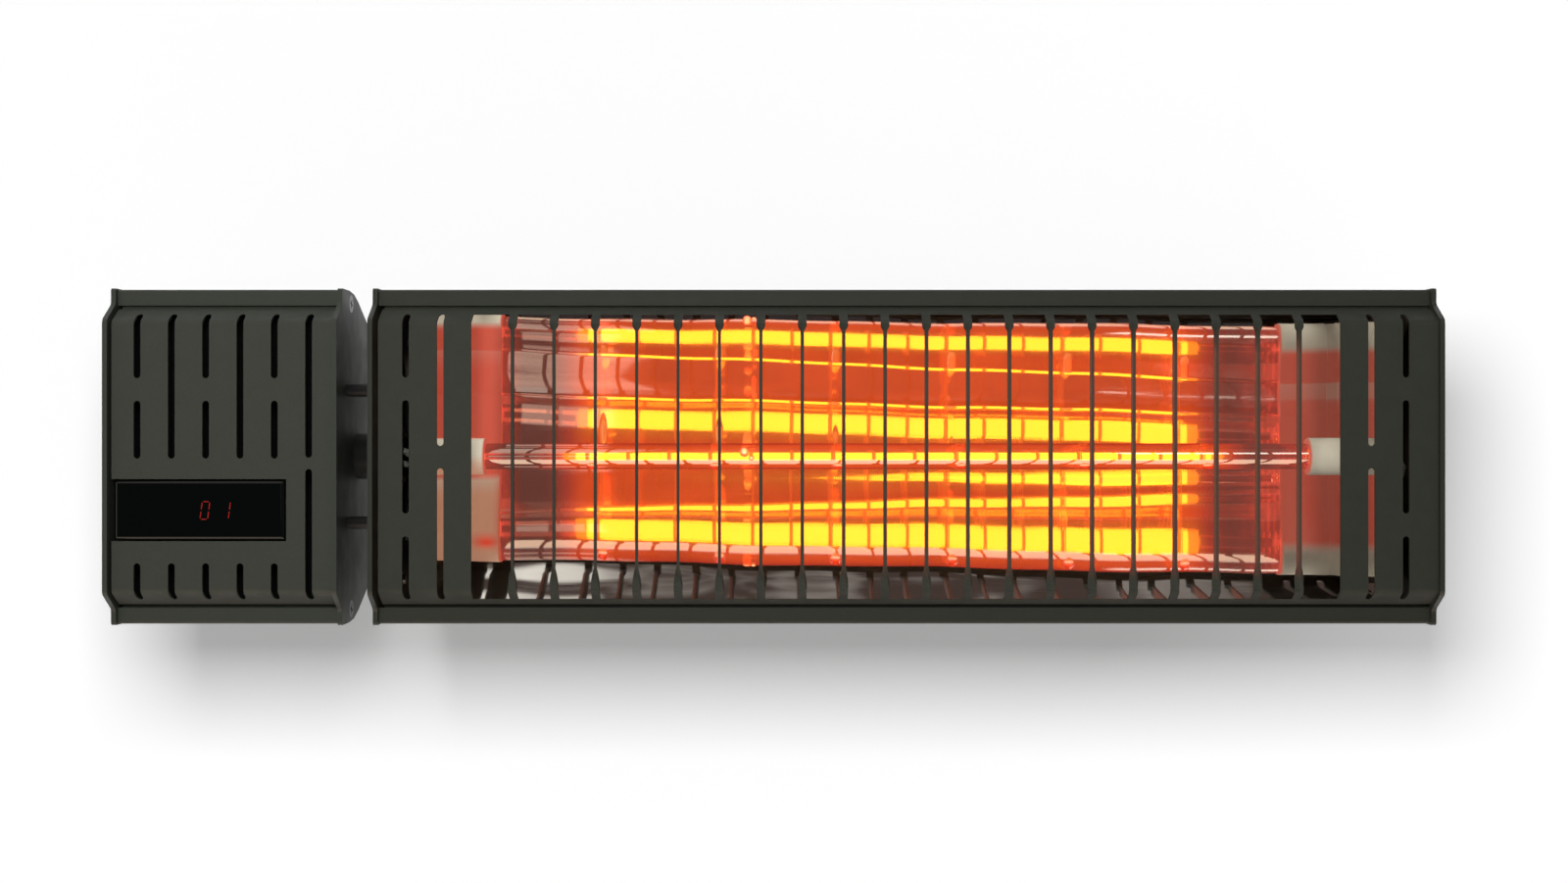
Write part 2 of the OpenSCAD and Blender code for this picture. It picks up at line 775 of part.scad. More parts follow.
// Two wires from the terminal block up to the board
module mains_wires() {
    color([0.35, 0.2, 0.1]) in_body()
        for (pole = [1, 2]) {
            x = terminal_x - pole * terminal_pitch;
            wire([[x, terminal_entry[0], terminal_entry[1]], [x, 46, -21], [x - 1, 44, -14], [x - 2.6, 40, -6],
                  [x - 3.8, 37, 2], [x - 4, 36.4, 8], [x - 4, 38, 13], [x - 4, 40.4, 15.2], [x - 4, 42.3, 15.6],
                  [x - 4, board_d[0] - fit, 15.6]], 1.1);
        }
}

// ---- Cable gland at the back of the control box ----

gland_flange = 5;
gland_bore = 6.5;
seal_r = 4.5;
seal_len = 9;

module cable_gland() {
    face = body_d;
    color([0.1, 0.1, 0.1]) in_body() difference() {
        union() {
            rod_y(face - 12, face + 1, gland_x, 0, gland_r);
            hex_y(face, face + gland_flange, gland_x, 0, 24);
            rod_y(face + gland_flange - 1, face + gland_flange + 9, gland_x, 0, 9.4);
        }
        rod_y(face - 13, face + gland_flange + 0.1, gland_x, 0, gland_bore);
        rod_y(face + gland_flange, face + gland_flange + 10, gland_x, 0, 7.6);
    }
}

module gland_seal() {
    start = body_d + gland_flange;
    color([0.05, 0.05, 0.05]) in_body() difference() {
        rod_y(start + hairline, start + seal_len, gland_x, 0, 7.6 - hairline);
        rod_y(start - 1, start + seal_len + 1, gland_x, 0, seal_r);
    }
}

module gland_nut() {
    start = body_d + gland_flange + fit;
    color([0.1, 0.1, 0.1]) in_body() difference() {
        union() {
            hex_y(start, start + 8, gland_x, 0, 24);
            rod_y(start, start + 10, gland_x, 0, 11.8);
            rod_y(start + 10, start + 16, gland_x, 0, 11.8, 7);
        }
        rod_y(start - 1, start + 9.2, gland_x, 0, 9.5);
        rod_y(start, start + 20, gland_x, 0, 5.2);
    }
}

module gland_locknut() {
    inner = body_d - wall_t;
    color([0.1, 0.1, 0.1]) in_body() difference() {
        hex_y(inner - 5, inner, gland_x, 0, 26);
        rod_y(inner - 6, inner + 1, gland_x, 0, gland_r + hairline);
    }
}

// ---- What joins the control box to the heater ----

link_r = 8.2;

module link_tube() {
    color(black) in_body() difference() {
        union() {
            rod_x(control_right, -heater_x, link_tube_depth, 0, 9.7);
            rod_x(control_right - 10, -heater_x + 8, link_tube_depth, 0, link_r);
        }
        rod_x(-deep, 0, link_tube_depth, 0, 6.6);
    }
}

module link_locknuts() {
    color(steel) in_body()
        for (x = [control_right - cap_t - 5, -heater_x + cap_t])
            difference() {
                hex_x(x, x + 5, link_tube_depth, 0, 22);
                rod_x(x - 1, x + 6, link_tube_depth, 0, link_r + hairline);
            }
}

module link_spacers() {
    color(black) in_body()
        for (z = [-link_pin_z, link_pin_z])
            difference() {
                union() {
                    rod_x(control_right, -heater_x, link_pin_depth, z, 2.5);
                    rod_x(control_right + 1.5, -heater_x, link_pin_depth, z, 2.75);
                }
                rod_x(-deep, 0, link_pin_depth, z, 1.5 + hairline);
            }
}

module link_screws() {
    color(steel) in_body()
        for (z = [-link_pin_z, link_pin_z]) {
            rod_x(control_right - cap_t - 1, -heater_x + cap_t + 4, link_pin_depth, z, 1.5);
            rod_x(control_right - cap_t - 2.2, control_right - cap_t, link_pin_depth, z, 2.9);
        }
}

module link_nuts() {
    x = -heater_x + cap_t;
    color(steel) in_body()
        for (z = [-link_pin_z, link_pin_z])
            difference() {
                hex_x(x, x + 2.4, link_pin_depth, z, 5.5);
                rod_x(x - 1, x + 4, link_pin_depth, z, 1.5 + hairline);
            }
}

// ---- Wall bracket and tilting clevis ----

bracket_t = 3;
ear_r = 14;
clevis_x = clevis_w / 2;
friction_t = 1.3;
wall_ear_x = clevis_x + friction_t + fit;
pivot_y = -pivot_from_wall;

// Ear from a base line at y0 to the round end at the pivot
module ear(x0, x1, y0, base_half, pivot_at, r) {
    along_x(x0, x1) {
        polygon([[y0, -base_half], [y0, base_half], [pivot_at, r], [pivot_at, -r]]);
        translate([pivot_at, 0])
            circle(r = r);
    }
}

module wall_bracket() {
    half_w = wall_ear_x + bracket_t;
    outline = [[-half_w, -plate_h / 2, 6], [half_w, -plate_h / 2, 6],
               [half_w, plate_h / 2, 6], [-half_w, plate_h / 2, 6]];
    color([0.2, 0.2, 0.19]) difference() {
        union() {
            rotate([90, 0, 0])
                linear_extrude(bracket_t)
                    polygon(rounded_loop(outline));
            for (side = [-1, 1])
                ear(side > 0 ? wall_ear_x : -half_w, side > 0 ? half_w : -wall_ear_x,
                    -bracket_t + 0.5, 22, pivot_y, ear_r);
        }
        rod_x(-deep, deep, pivot_y, 0, pivot_d / 2 + 0.2);
        for (side = [-1, 1]) {
            mid = side * wall_slot_gap / 2;
            straight = (wall_slot_len - wall_slot_w) / 2;
            box([-wall_slot_w / 2, -20, mid - straight], [wall_slot_w / 2, 1, mid + straight]);
            for (end = [-1, 1])
                rod_y(-20, 1, 0, mid + end * straight, wall_slot_w / 2);
        }
    }
}

module heater_bracket() {
    base = seat_depth;
    color([0.2, 0.2, 0.19]) in_body() difference() {
        union() {
            box([-clevis_x, base, -clevis_h / 2], [clevis_x, base + bracket_t, clevis_h / 2]);
            for (side = [-1, 1])
                ear(side > 0 ? clevis_x - bracket_t : -clevis_x, side > 0 ? clevis_x : bracket_t - clevis_x,
                    base + bracket_t - 0.5, clevis_h / 2, pivot_depth, ear_r);
        }
        rod_x(-deep, deep, pivot_depth, 0, pivot_d / 2 + 0.06);
        for (x = [-clevis_bolt_x, clevis_bolt_x])
            rod_y(base - 1, base + bracket_t + 1, x, 0, 3.2);
    }
}

washer_t = 1.6;

module bracket_bolts() {
    under_head = seat_depth + bracket_t + washer_t;
    color(steel) in_body()
        for (x = [-clevis_bolt_x, clevis_bolt_x]) {
            rod_y(pad_depth - nut_t - 1, under_head + 1, x, 0, 3);
            hex_y(under_head, under_head + 4, x, 0, 10);
        }
}

module bracket_washers() {
    start = seat_depth + bracket_t;
    color(steel) in_body()
        for (x = [-clevis_bolt_x, clevis_bolt_x])
            difference() {
                rod_y(start, start + washer_t, x, 0, 6);
                rod_y(start - 1, start + washer_t + 1, x, 0, 3.2);
            }
}

module bracket_nuts() {
    color(steel) in_body()
        for (x = [-clevis_bolt_x, clevis_bolt_x])
            difference() {
                box([x - nut_w / 2, pad_depth - nut_t, -nut_w / 2], [x + nut_w / 2, pad_depth, nut_w / 2]);
                rod_y(40, 62, x, 0, 3 + hairline);
            }
}

pivot_head = wall_ear_x + bracket_t + washer_t;
pivot_nut_t = 8;

module pivot_bolt() {
    color(steel) {
        rod_x(-pivot_head - 1, pivot_head + pivot_nut_t + 3, pivot_y, 0, pivot_d / 2);
        hex_x(-pivot_head - 5.3, -pivot_head, pivot_y, 0, 13);
    }
}

module pivot_spacer() {
    half = clevis_x - bracket_t - hairline;
    color(steel) in_body() difference() {
        rod_x(-half, half, pivot_depth, 0, 6);
        rod_x(-deep, deep, pivot_depth, 0, pivot_d / 2 + 0.06);
    }
}

module pivot_washers() {
    color(steel)
        for (x = [-pivot_head, pivot_head - washer_t])
            difference() {
                rod_x(x, x + washer_t, pivot_y, 0, 8);
                rod_x(x - 1, x + washer_t + 1, pivot_y, 0, pivot_d / 2 + 0.2);
            }
}

module friction_washers() {
    color([0.85, 0.85, 0.8])
        for (x = [-wall_ear_x, wall_ear_x - friction_t])
            difference() {
                rod_x(x, x + friction_t, pivot_y, 0, 12);
                rod_x(x - 1, x + friction_t + 1, pivot_y, 0, pivot_d / 2 + fit);
            }
}

module pivot_nut() {
    color(steel) difference() {
        union() {
            hex_x(pivot_head, pivot_head + pivot_nut_t - 2, pivot_y, 0, 13);
            rod_x(pivot_head, pivot_head + pivot_nut_t, pivot_y, 0, 5.8);
        }
        rod_x(pivot_head - 1, pivot_head + pivot_nut_t + 1, pivot_y, 0, pivot_d / 2 + hairline);
    }
}

heater_housing();
heater_guard();
heater_cap_left();
heater_cap_right();
reflector();
reflector_end_left();
reflector_end_right();
lamp_tube();
lamp_filament();
filament_supports();
lamp_ceramic_left();
lamp_ceramic_right();
lamp_wire_left();
lamp_wire_right();
control_housing();
control_panel();
control_cap_left();
control_cap_right();
display_window();
display_housing();
display_board();
digit_module();
insulating_sheet();
power_board();
board_standoffs();
relays();
capacitor();
transformer();
heatsink();
terminal_block();
mains_wires();
cable_gland();
gland_seal();
gland_nut();
gland_locknut();
link_tube();
link_locknuts();
link_spacers();
link_screws();
link_nuts();
cap_screws();
wall_bracket();
heater_bracket();
bracket_bolts();
bracket_washers();
bracket_nuts();
pivot_bolt();
pivot_spacer();
pivot_washers();
friction_washers();
pivot_nut();
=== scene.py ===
"""Looks of a wall-mounted infrared bar heater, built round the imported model. x runs along the heater, depth
backwards from the end caps' flanges, and z upwards. The part's own measures are in millimetres and go through
point(). The camera, lights, cards and mesh points are in metres."""
import math

import bmesh
import bpy
import numpy as np
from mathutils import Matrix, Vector
from mathutils.geometry import tessellate_polygon


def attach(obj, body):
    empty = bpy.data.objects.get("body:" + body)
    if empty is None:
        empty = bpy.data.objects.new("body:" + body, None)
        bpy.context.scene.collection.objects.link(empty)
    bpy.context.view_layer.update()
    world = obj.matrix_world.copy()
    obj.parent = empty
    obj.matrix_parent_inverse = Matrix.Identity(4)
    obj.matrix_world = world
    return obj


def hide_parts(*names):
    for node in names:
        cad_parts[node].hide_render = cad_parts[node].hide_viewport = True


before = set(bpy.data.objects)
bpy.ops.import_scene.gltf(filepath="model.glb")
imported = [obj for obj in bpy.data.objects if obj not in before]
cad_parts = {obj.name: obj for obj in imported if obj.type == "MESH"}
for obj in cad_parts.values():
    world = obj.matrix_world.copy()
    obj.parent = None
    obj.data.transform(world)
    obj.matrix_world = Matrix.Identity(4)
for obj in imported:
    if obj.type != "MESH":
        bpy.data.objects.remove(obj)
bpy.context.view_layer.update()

MM = 0.001
FLANGE = -116.0         # row y of depth 0, in millimetres
LAMP_DEPTH = 19.3
LAMP_X = -2.35
LAMP_HALF = 346.3 / 2   # half of the glass between the ceramic ends
TUBE_R = 5.5
CERAMIC_R = 7.85
HEAT_X = -3.5           # middle of the heated zone
HEAT_HALF = 138.8
BRIGHT_HALF = 133.8     # the coil is cooler beyond this
DIMPLE_PITCH = 51.8     # between the dimples that hold every third support
SUPPORT_PITCH = DIMPLE_PITCH / 3
SUPPORT_X = -3.1 - DIMPLE_PITCH * 2.5   # the first support that the glass holds

CAMERA = (-0.0497, -0.916, 0.0063)
LENS = 44.55
WALL_Y = 0.0004         # just behind the bracket's plate
WALL_HALF = (6.0, 4.0)
WHITE = 1.03            # what the wall shows where it is lit
KEY = (-0.17, -0.88, 0.25)
KEY_SIZE = 0.36
KEY_POWER = 7.4
SHADE = 0.61            # share of the white that the key light gives
WORLD = 0.17            # what the world gives to diffuse surfaces
GAP = (-0.225, -0.002, 0.0)     # between the two boxes, at the wall
GAP_SIZE = (0.04, 0.16)
GAP_POWER = 0.22
CARD_EDGE = 1.8         # half-length of the large cards, which stand round the front of the heater
CARD_BACK = -1.1
CARD_TOP = 1.5
CARD_FOOT = -0.6
CARD_NEAR = -0.3        # y where the card below changes colour


# ---- Camera, backdrop and lights ----

def add_camera():
    data = bpy.data.cameras.new("camera")
    data.sensor_fit = "HORIZONTAL"
    data.sensor_width = 36.0
    data.lens = LENS
    data.clip_start = 0.02
    data.clip_end = 30.0
    camera = bpy.data.objects.new("camera", data)
    camera.location = CAMERA
    camera.rotation_euler = (math.pi / 2, 0.0, 0.0)
    bpy.context.scene.collection.objects.link(camera)
    bpy.context.scene.camera = camera


def add(tree, kind, inputs=None, **settings):
    """New shader node. inputs maps socket names or numbers to values or to sockets."""
    node = tree.nodes.new(kind)
    for key, value in settings.items():
        setattr(node, key, value)
    for key, value in (inputs or {}).items():
        if isinstance(value, bpy.types.NodeSocket):
            tree.links.new(value, node.inputs[key])
        else:
            node.inputs[key].default_value = value
    return node


def blank_material(name):
    """Material without nodes, and its node tree"""
    made = bpy.data.materials.new(name)
    made.use_nodes = True
    made.node_tree.nodes.clear()
    return made, made.node_tree


def calc(tree, operation, *values, clamp=False):
    """Result of a math node"""
    return add(tree, "ShaderNodeMath", dict(enumerate(values)), operation=operation,
               use_clamp=clamp).outputs[0]


def between(tree, share, low, high):
    """Value that goes from low to high with share"""
    return add(tree, "ShaderNodeMix", {0: share, 2: low, 3: high}, data_type="FLOAT").outputs[0]


def blend(tree, share, first, second):
    """Colour that goes from the first to the second with share"""
    return add(tree, "ShaderNodeMix", {0: share, 6: first, 7: second}, data_type="RGBA").outputs[2]


def ramp(tree, fac, low, high, out_low, out_high):
    return add(tree, "ShaderNodeMapRange", {"Value": fac, "From Min": low, "From Max": high,
                                            "To Min": out_low, "To Max": out_high}).outputs[0]


def smooth(tree, fac, low, high, out_low=0.0, out_high=1.0):
    """Ramp that starts and ends gently"""
    return add(tree, "ShaderNodeMapRange", {"Value": fac, "From Min": low, "From Max": high,
                                            "To Min": out_low, "To Max": out_high},
               interpolation_type="SMOOTHSTEP").outputs[0]


def plane(name, corners):
    mesh = bpy.data.meshes.new(name)
    mesh.from_pydata(corners, [], [(0, 1, 2, 3)])
    obj = bpy.data.objects.new(name, mesh)
    bpy.context.scene.collection.objects.link(obj)
    return obj


def seen_rays(tree):
    """1 for the rays that show the backdrop: camera, glossy and transmission rays"""
    path = add(tree, "ShaderNodeLightPath")
    seen = calc(tree, "MAXIMUM", path.outputs["Is Camera Ray"], path.outputs["Is Glossy Ray"])
    return calc(tree, "MAXIMUM", seen, path.outputs["Is Transmission Ray"])


def backdrop_material(name):
    """White surface, seen from its front only, that keeps the object's shadow. The key light gives the same
    share of the white everywhere near the object, so the shadow is even."""
    made, tree = blank_material(name)
    place = add(tree, "ShaderNodeNewGeometry").outputs["Position"]
    foot = (KEY[0], 0.0, KEY[2])
    away = add(tree, "ShaderNodeVectorMath", {0: place, 1: foot}, operation="DISTANCE").outputs["Value"]
    square = calc(tree, "ADD", calc(tree, "MULTIPLY", away, away), KEY[1] ** 2)
    share = calc(tree, "DIVIDE", KEY[1] ** 2, square)
    share = calc(tree, "MULTIPLY", share, share)
    light = calc(tree, "MULTIPLY", share, KEY_POWER / (math.pi * KEY[1]) ** 2)
    colour = calc(tree, "MINIMUM", calc(tree, "DIVIDE", SHADE, light), 0.98)
    lost = calc(tree, "MULTIPLY", calc(tree, "ADD", light, WORLD), colour)
    glow = calc(tree, "SUBTRACT", WHITE, lost)
    colour = add(tree, "ShaderNodeCombineColor", {0: colour, 1: colour, 2: colour}).outputs[0]
    diffuse = add(tree, "ShaderNodeBsdfDiffuse", {"Color": colour})
    light = add(tree, "ShaderNodeEmission", {"Color": (1, 1, 1, 1), "Strength": glow})
    lit = add(tree, "ShaderNodeAddShader", {0: diffuse.outputs[0], 1: light.outputs[0]})
    clear = add(tree, "ShaderNodeBsdfTransparent")
    geometry = add(tree, "ShaderNodeNewGeometry")
    front = calc(tree, "SUBTRACT", 1.0, geometry.outputs["Backfacing"])
    shown = calc(tree, "MULTIPLY", seen_rays(tree), front)
    mix = add(tree, "ShaderNodeMixShader", {0: shown, 1: clear.outputs[0], 2: lit.outputs[0]})
    add(tree, "ShaderNodeOutputMaterial", {"Surface": mix.outputs[0]})
    return made


def card_material(name, colour, patches=None, streaks=False):
    """Studio card that only polished surfaces see. patches is a second colour, in two bands that end in
    blots, and streaks slant across the card."""
    made, tree = blank_material(name)
    light = add(tree, "ShaderNodeEmission", {"Color": (*colour, 1), "Strength": 1.0})
    place = add(tree, "ShaderNodeTexCoord").outputs["Object"]
    if streaks:
        slant = add(tree, "ShaderNodeMapping", {"Vector": place, "Rotation": (0, 0.12, 0),
                                                "Scale": (0.9, 1.0, 6.0)}).outputs[0]
        streak = add(tree, "ShaderNodeTexNoise", {"Vector": slant, "Scale": 3.0, "Detail": 3.0})
        tree.links.new(ramp(tree, streak.outputs["Fac"], 0.4, 0.58, 0.45, 1.2), light.inputs["Strength"])
    if patches:
        split = add(tree, "ShaderNodeSeparateXYZ", {0: place})
        far = ramp(tree, split.outputs["Y"], -0.494, -0.48, 1.0, 0.0)
        far = calc(tree, "MULTIPLY", far, ramp(tree, split.outputs["X"], -0.345, -0.2, 1.0, 0.02))
        near = ramp(tree, split.outputs["Y"], -0.44, -0.43, 0.0, 1.0)
        near = calc(tree, "MULTIPLY", near, ramp(tree, split.outputs["X"], -0.325, -0.29, 1.0, 0.0))
        place = add(tree, "ShaderNodeMapping", {"Vector": place, "Scale": (1.0, 2.6, 1.0)}).outputs[0]
        blots = add(tree, "ShaderNodeTexNoise", {"Vector": place, "Scale": 9.0, "Detail": 2.0}).outputs["Fac"]
        share = calc(tree, "MAXIMUM", far, near)
        share = calc(tree, "MULTIPLY", share, ramp(tree, blots, 0.3, 0.5, 0.6, 1.0))
        share = calc(tree, "MAXIMUM", share, ramp(tree, blots, 0.5, 0.66, 0.0, 0.2))
        tree.links.new(blend(tree, share, (*colour, 1), (*patches, 1)), light.inputs["Color"])
    clear = add(tree, "ShaderNodeBsdfTransparent")
    glossy = add(tree, "ShaderNodeLightPath").outputs["Is Glossy Ray"]
    mix = add(tree, "ShaderNodeMixShader", {0: glossy, 1: clear.outputs[0], 2: light.outputs[0]})
    add(tree, "ShaderNodeOutputMaterial", {"Surface": mix.outputs[0]})
    return made


def card(name, corners, colour, **looks):
    plane(name, corners).data.materials.append(card_material(name, colour, **looks))


def level_card(name, y0, y1, z, colour, **looks):
    card(name, [(-CARD_EDGE, y0, z), (CARD_EDGE, y0, z), (CARD_EDGE, y1, z), (-CARD_EDGE, y1, z)], colour,
         **looks)


def area_light(name, location, target, size, power):
    """Light that polished surfaces don't show. size is its width and height."""
    data = bpy.data.lights.new(name, "AREA")
    data.shape = "RECTANGLE"
    data.size, data.size_y = size
    data.energy = power
    lamp = bpy.data.objects.new(name, data)
    lamp.location = location
    lamp.rotation_euler = (Vector(target) - Vector(location)).to_track_quat("-Z", "Y").to_euler()
    lamp.visible_glossy = lamp.visible_camera = False
    bpy.context.scene.collection.objects.link(lamp)


def add_studio():
    w, h = WALL_HALF
    wall = plane("wall", [(-w, WALL_Y, -h), (w, WALL_Y, -h), (w, WALL_Y, h), (-w, WALL_Y, h)])
    wall.data.materials.append(backdrop_material("wall_white"))
    # Cards behind the camera, as corners in x and z. What the mirror shows of each is set by its place.
    mid, split, top, edge = -0.22, 0.46, CARD_TOP, CARD_EDGE
    for name, y, corners, colour in (
            ("card_level", CARD_BACK, [(-edge, -0.5), (edge, -0.5), (edge, split), (-edge, split)],
             (0.035, 0.028, 0.028)),
            ("card_top", CARD_BACK, [(mid, split), (edge, split), (edge, top), (mid, top)],
             (0.06, 0.05, 0.045)),
            ("card_left", CARD_BACK, [(-edge, split), (mid, split), (mid, top), (-edge, top)],
             (0.9, 0.68, 0.58)),
            ("card_side", -1.09, [(-edge, -0.2), (-0.8, -0.2), (-0.84, 0.3), (-edge, 0.36)], (1.5, 1.28, 1.1)),
            ("card_bright", -1.09, [(0.28, 0.36), (1.3, 0.52), (1.3, 0.9), (0.28, 0.62)], (2.8, 2.7, 2.5)),
            ("card_beige", -1.08, [(-0.45, 0.02), (-0.36, -0.06), (mid, -0.07), (mid, 0.13)],
             (0.85, 0.62, 0.54)),
            ("card_wedge", -1.095, [(-0.8, 0.45), (-0.26, 0.45), (-0.3, 0.53), (-0.8, 0.66)],
             (0.13, 0.12, 0.11))):
        card(name, [(x, y, z) for x, z in corners], colour, streaks=name == "card_left")
    level_card("card_overhead", CARD_BACK, 0.3, CARD_TOP, (0.06, 0.04, 0.034), patches=(0.85, 0.8, 0.72))
    level_card("card_below", CARD_BACK, CARD_NEAR, CARD_FOOT, (1.75, 1.42, 1.08))
    level_card("card_near", CARD_NEAR, -0.05, CARD_FOOT, (1.35, 1.1, 0.88))
    card("card_right", [(edge, CARD_BACK, CARD_FOOT), (edge, 0.0, CARD_FOOT), (edge, 0.0, top),
                        (edge, CARD_BACK, top)], (0.1, 0.09, 0.08))
    world = bpy.data.worlds.new("world")
    bpy.context.scene.world = world
    world.use_nodes = True
    tree = world.node_tree
    tree.nodes.clear()
    strength = between(tree, seen_rays(tree), WORLD, 1.0)
    sky = add(tree, "ShaderNodeBackground", {"Color": (1, 1, 1, 1), "Strength": strength})
    add(tree, "ShaderNodeOutputWorld", {"Surface": sky.outputs[0]})
    area_light("key", KEY, (KEY[0], 0, KEY[2]), (KEY_SIZE, KEY_SIZE), KEY_POWER)
    # Light from the wall's side for the faces between the two boxes
    area_light("gap", GAP, (GAP[0], -1, GAP[2]), GAP_SIZE, GAP_POWER)


add_camera()
add_studio()
bpy.context.scene.view_settings.view_transform = "Standard"


# ---- Materials ----

def material(name, colour, roughness, metallic=0.0, specular=0.5):
    """Principled material and its node tree, shader and object coordinates"""
    made = bpy.data.materials.new(name)
    made.use_nodes = True
    tree = made.node_tree
    shader = tree.nodes["Principled BSDF"]
    shader.inputs["Base Color"].default_value = (*colour, 1)
    shader.inputs["Roughness"].default_value = roughness
    shader.inputs["Metallic"].default_value = metallic
    shader.inputs["Specular IOR Level"].default_value = specular
    place = add(tree, "ShaderNodeTexCoord").outputs["Object"]
    return made, tree, shader, place


def noise(tree, place, size, detail=2.0, rough=0.5, stretch=None):
    """Noise whose blobs are about size millimetres across"""
    if stretch:
        place = add(tree, "ShaderNodeMapping", {"Vector": place, "Scale": stretch}).outputs[0]
    return add(tree, "ShaderNodeTexNoise", {"Vector": place, "Scale": 1000.0 / size, "Detail": detail,
                                            "Roughness": rough}).outputs["Fac"]


def bump(tree, shader, height, depth, strength=1.0, below=None):
    inputs = {"Height": height, "Distance": depth * MM, "Strength": strength}
    if below is not None:
        inputs["Normal"] = below
    made = add(tree, "ShaderNodeBump", inputs)
    tree.links.new(made.outputs[0], shader.inputs["Normal"])
    return made.outputs[0]


def shade(tree, shader, colour, fac, dark, light):
    """Base colour times a factor from dark to light, driven by fac"""
    level = ramp(tree, fac, 0.3, 0.7, dark, light)
    mix = add(tree, "ShaderNodeVectorMath", {0: colour, 3: level}, operation="SCALE")
    tree.links.new(mix.outputs[0], shader.inputs["Base Color"])


def powder_coat(name, colour, roughness=0.5):
    """Matte powder coat: fine grain over a soft orange peel"""
    made, tree, shader, place = material(name, colour, roughness, specular=0.45)
    grain = noise(tree, place, 0.35, 3)
    peel = noise(tree, place, 1.7, 1)
    shade(tree, shader, colour, grain, 0.88, 1.14)
    tree.links.new(ramp(tree, noise(tree, place, 9, 2), 0.3, 0.7, roughness - 0.03, roughness + 0.08),
                   shader.inputs["Roughness"])
    below = bump(tree, shader, peel, 0.02, 0.5)
    bump(tree, shader, grain, 0.012, 0.6, below)
    return made


def lamp_lit(made):
    """Adds the warm light that the lamp throws on the sides of the guard's bars"""
    tree = made.node_tree
    shader = tree.nodes["Principled BSDF"]
    coords = add(tree, "ShaderNodeTexCoord")
    split = add(tree, "ShaderNodeSeparateXYZ", {0: coords.outputs["Object"]})
    normal = add(tree, "ShaderNodeSeparateXYZ", {0: coords.outputs["Normal"]})
    wide = ramp(tree, calc(tree, "ABSOLUTE", split.outputs["X"]), 0.172, 0.174, 1.0, 0.0)
    high = ramp(tree, calc(tree, "ABSOLUTE", split.outputs["Z"]), 0.042, 0.05, 1.0, 0.0)
    window = calc(tree, "MULTIPLY", wide, high)
    side = ramp(tree, normal.outputs["X"], -0.8, -0.1, 1.0, 0.4)
    side = calc(tree, "MULTIPLY", side, ramp(tree, split.outputs["X"], -0.08, 0.09, 0.1, 1.0))
    behind = ramp(tree, normal.outputs["Y"], 0.5, 0.9, 0.0, 0.5)
    level = calc(tree, "MULTIPLY", window, calc(tree, "MAXIMUM", side, behind))
    shader.inputs["Emission Color"].default_value = (0.11, 0.03, 0.02, 1)
    tree.links.new(level, shader.inputs["Emission Strength"])
    return made


def plastic(name, colour, roughness, grain=0.25, depth=0.01, specular=0.45):
    made, tree, shader, place = material(name, colour, roughness, specular=specular)
    texture = noise(tree, place, grain, 2)
    shade(tree, shader, colour, noise(tree, place, 6, 3), 0.92, 1.08)
    tree.links.new(ramp(tree, texture, 0.3, 0.7, roughness - 0.05, roughness + 0.06),
                   shader.inputs["Roughness"])
    bump(tree, shader, texture, depth, 0.6)
    return made


def steel(name, colour, roughness, stretch=None):
    """Plated or rolled metal with fine, stretched scratches"""
    made, tree, shader, place = material(name, colour, roughness, metallic=1.0)
    texture = noise(tree, place, 0.5, 4, 0.6, stretch)
    shade(tree, shader, colour, noise(tree, place, 5, 3), 0.85, 1.1)
    tree.links.new(ramp(tree, texture, 0.25, 0.75, roughness - 0.1, roughness + 0.12),
                   shader.inputs["Roughness"])
    bump(tree, shader, texture, 0.006, 0.4)
    return made


def polished(name):
    """Mirror-bright aluminium with faint rolling lines"""
    made, tree, shader, place = material(name, (0.9, 0.885, 0.87), 0.03, metallic=1.0)
    lines = noise(tree, place, 1.2, 3, 0.6, (0.04, 1, 1))
    tree.links.new(ramp(tree, lines, 0.35, 0.75, 0.02, 0.06), shader.inputs["Roughness"])
    bump(tree, shader, lines, 0.0006, 0.5)
    return made


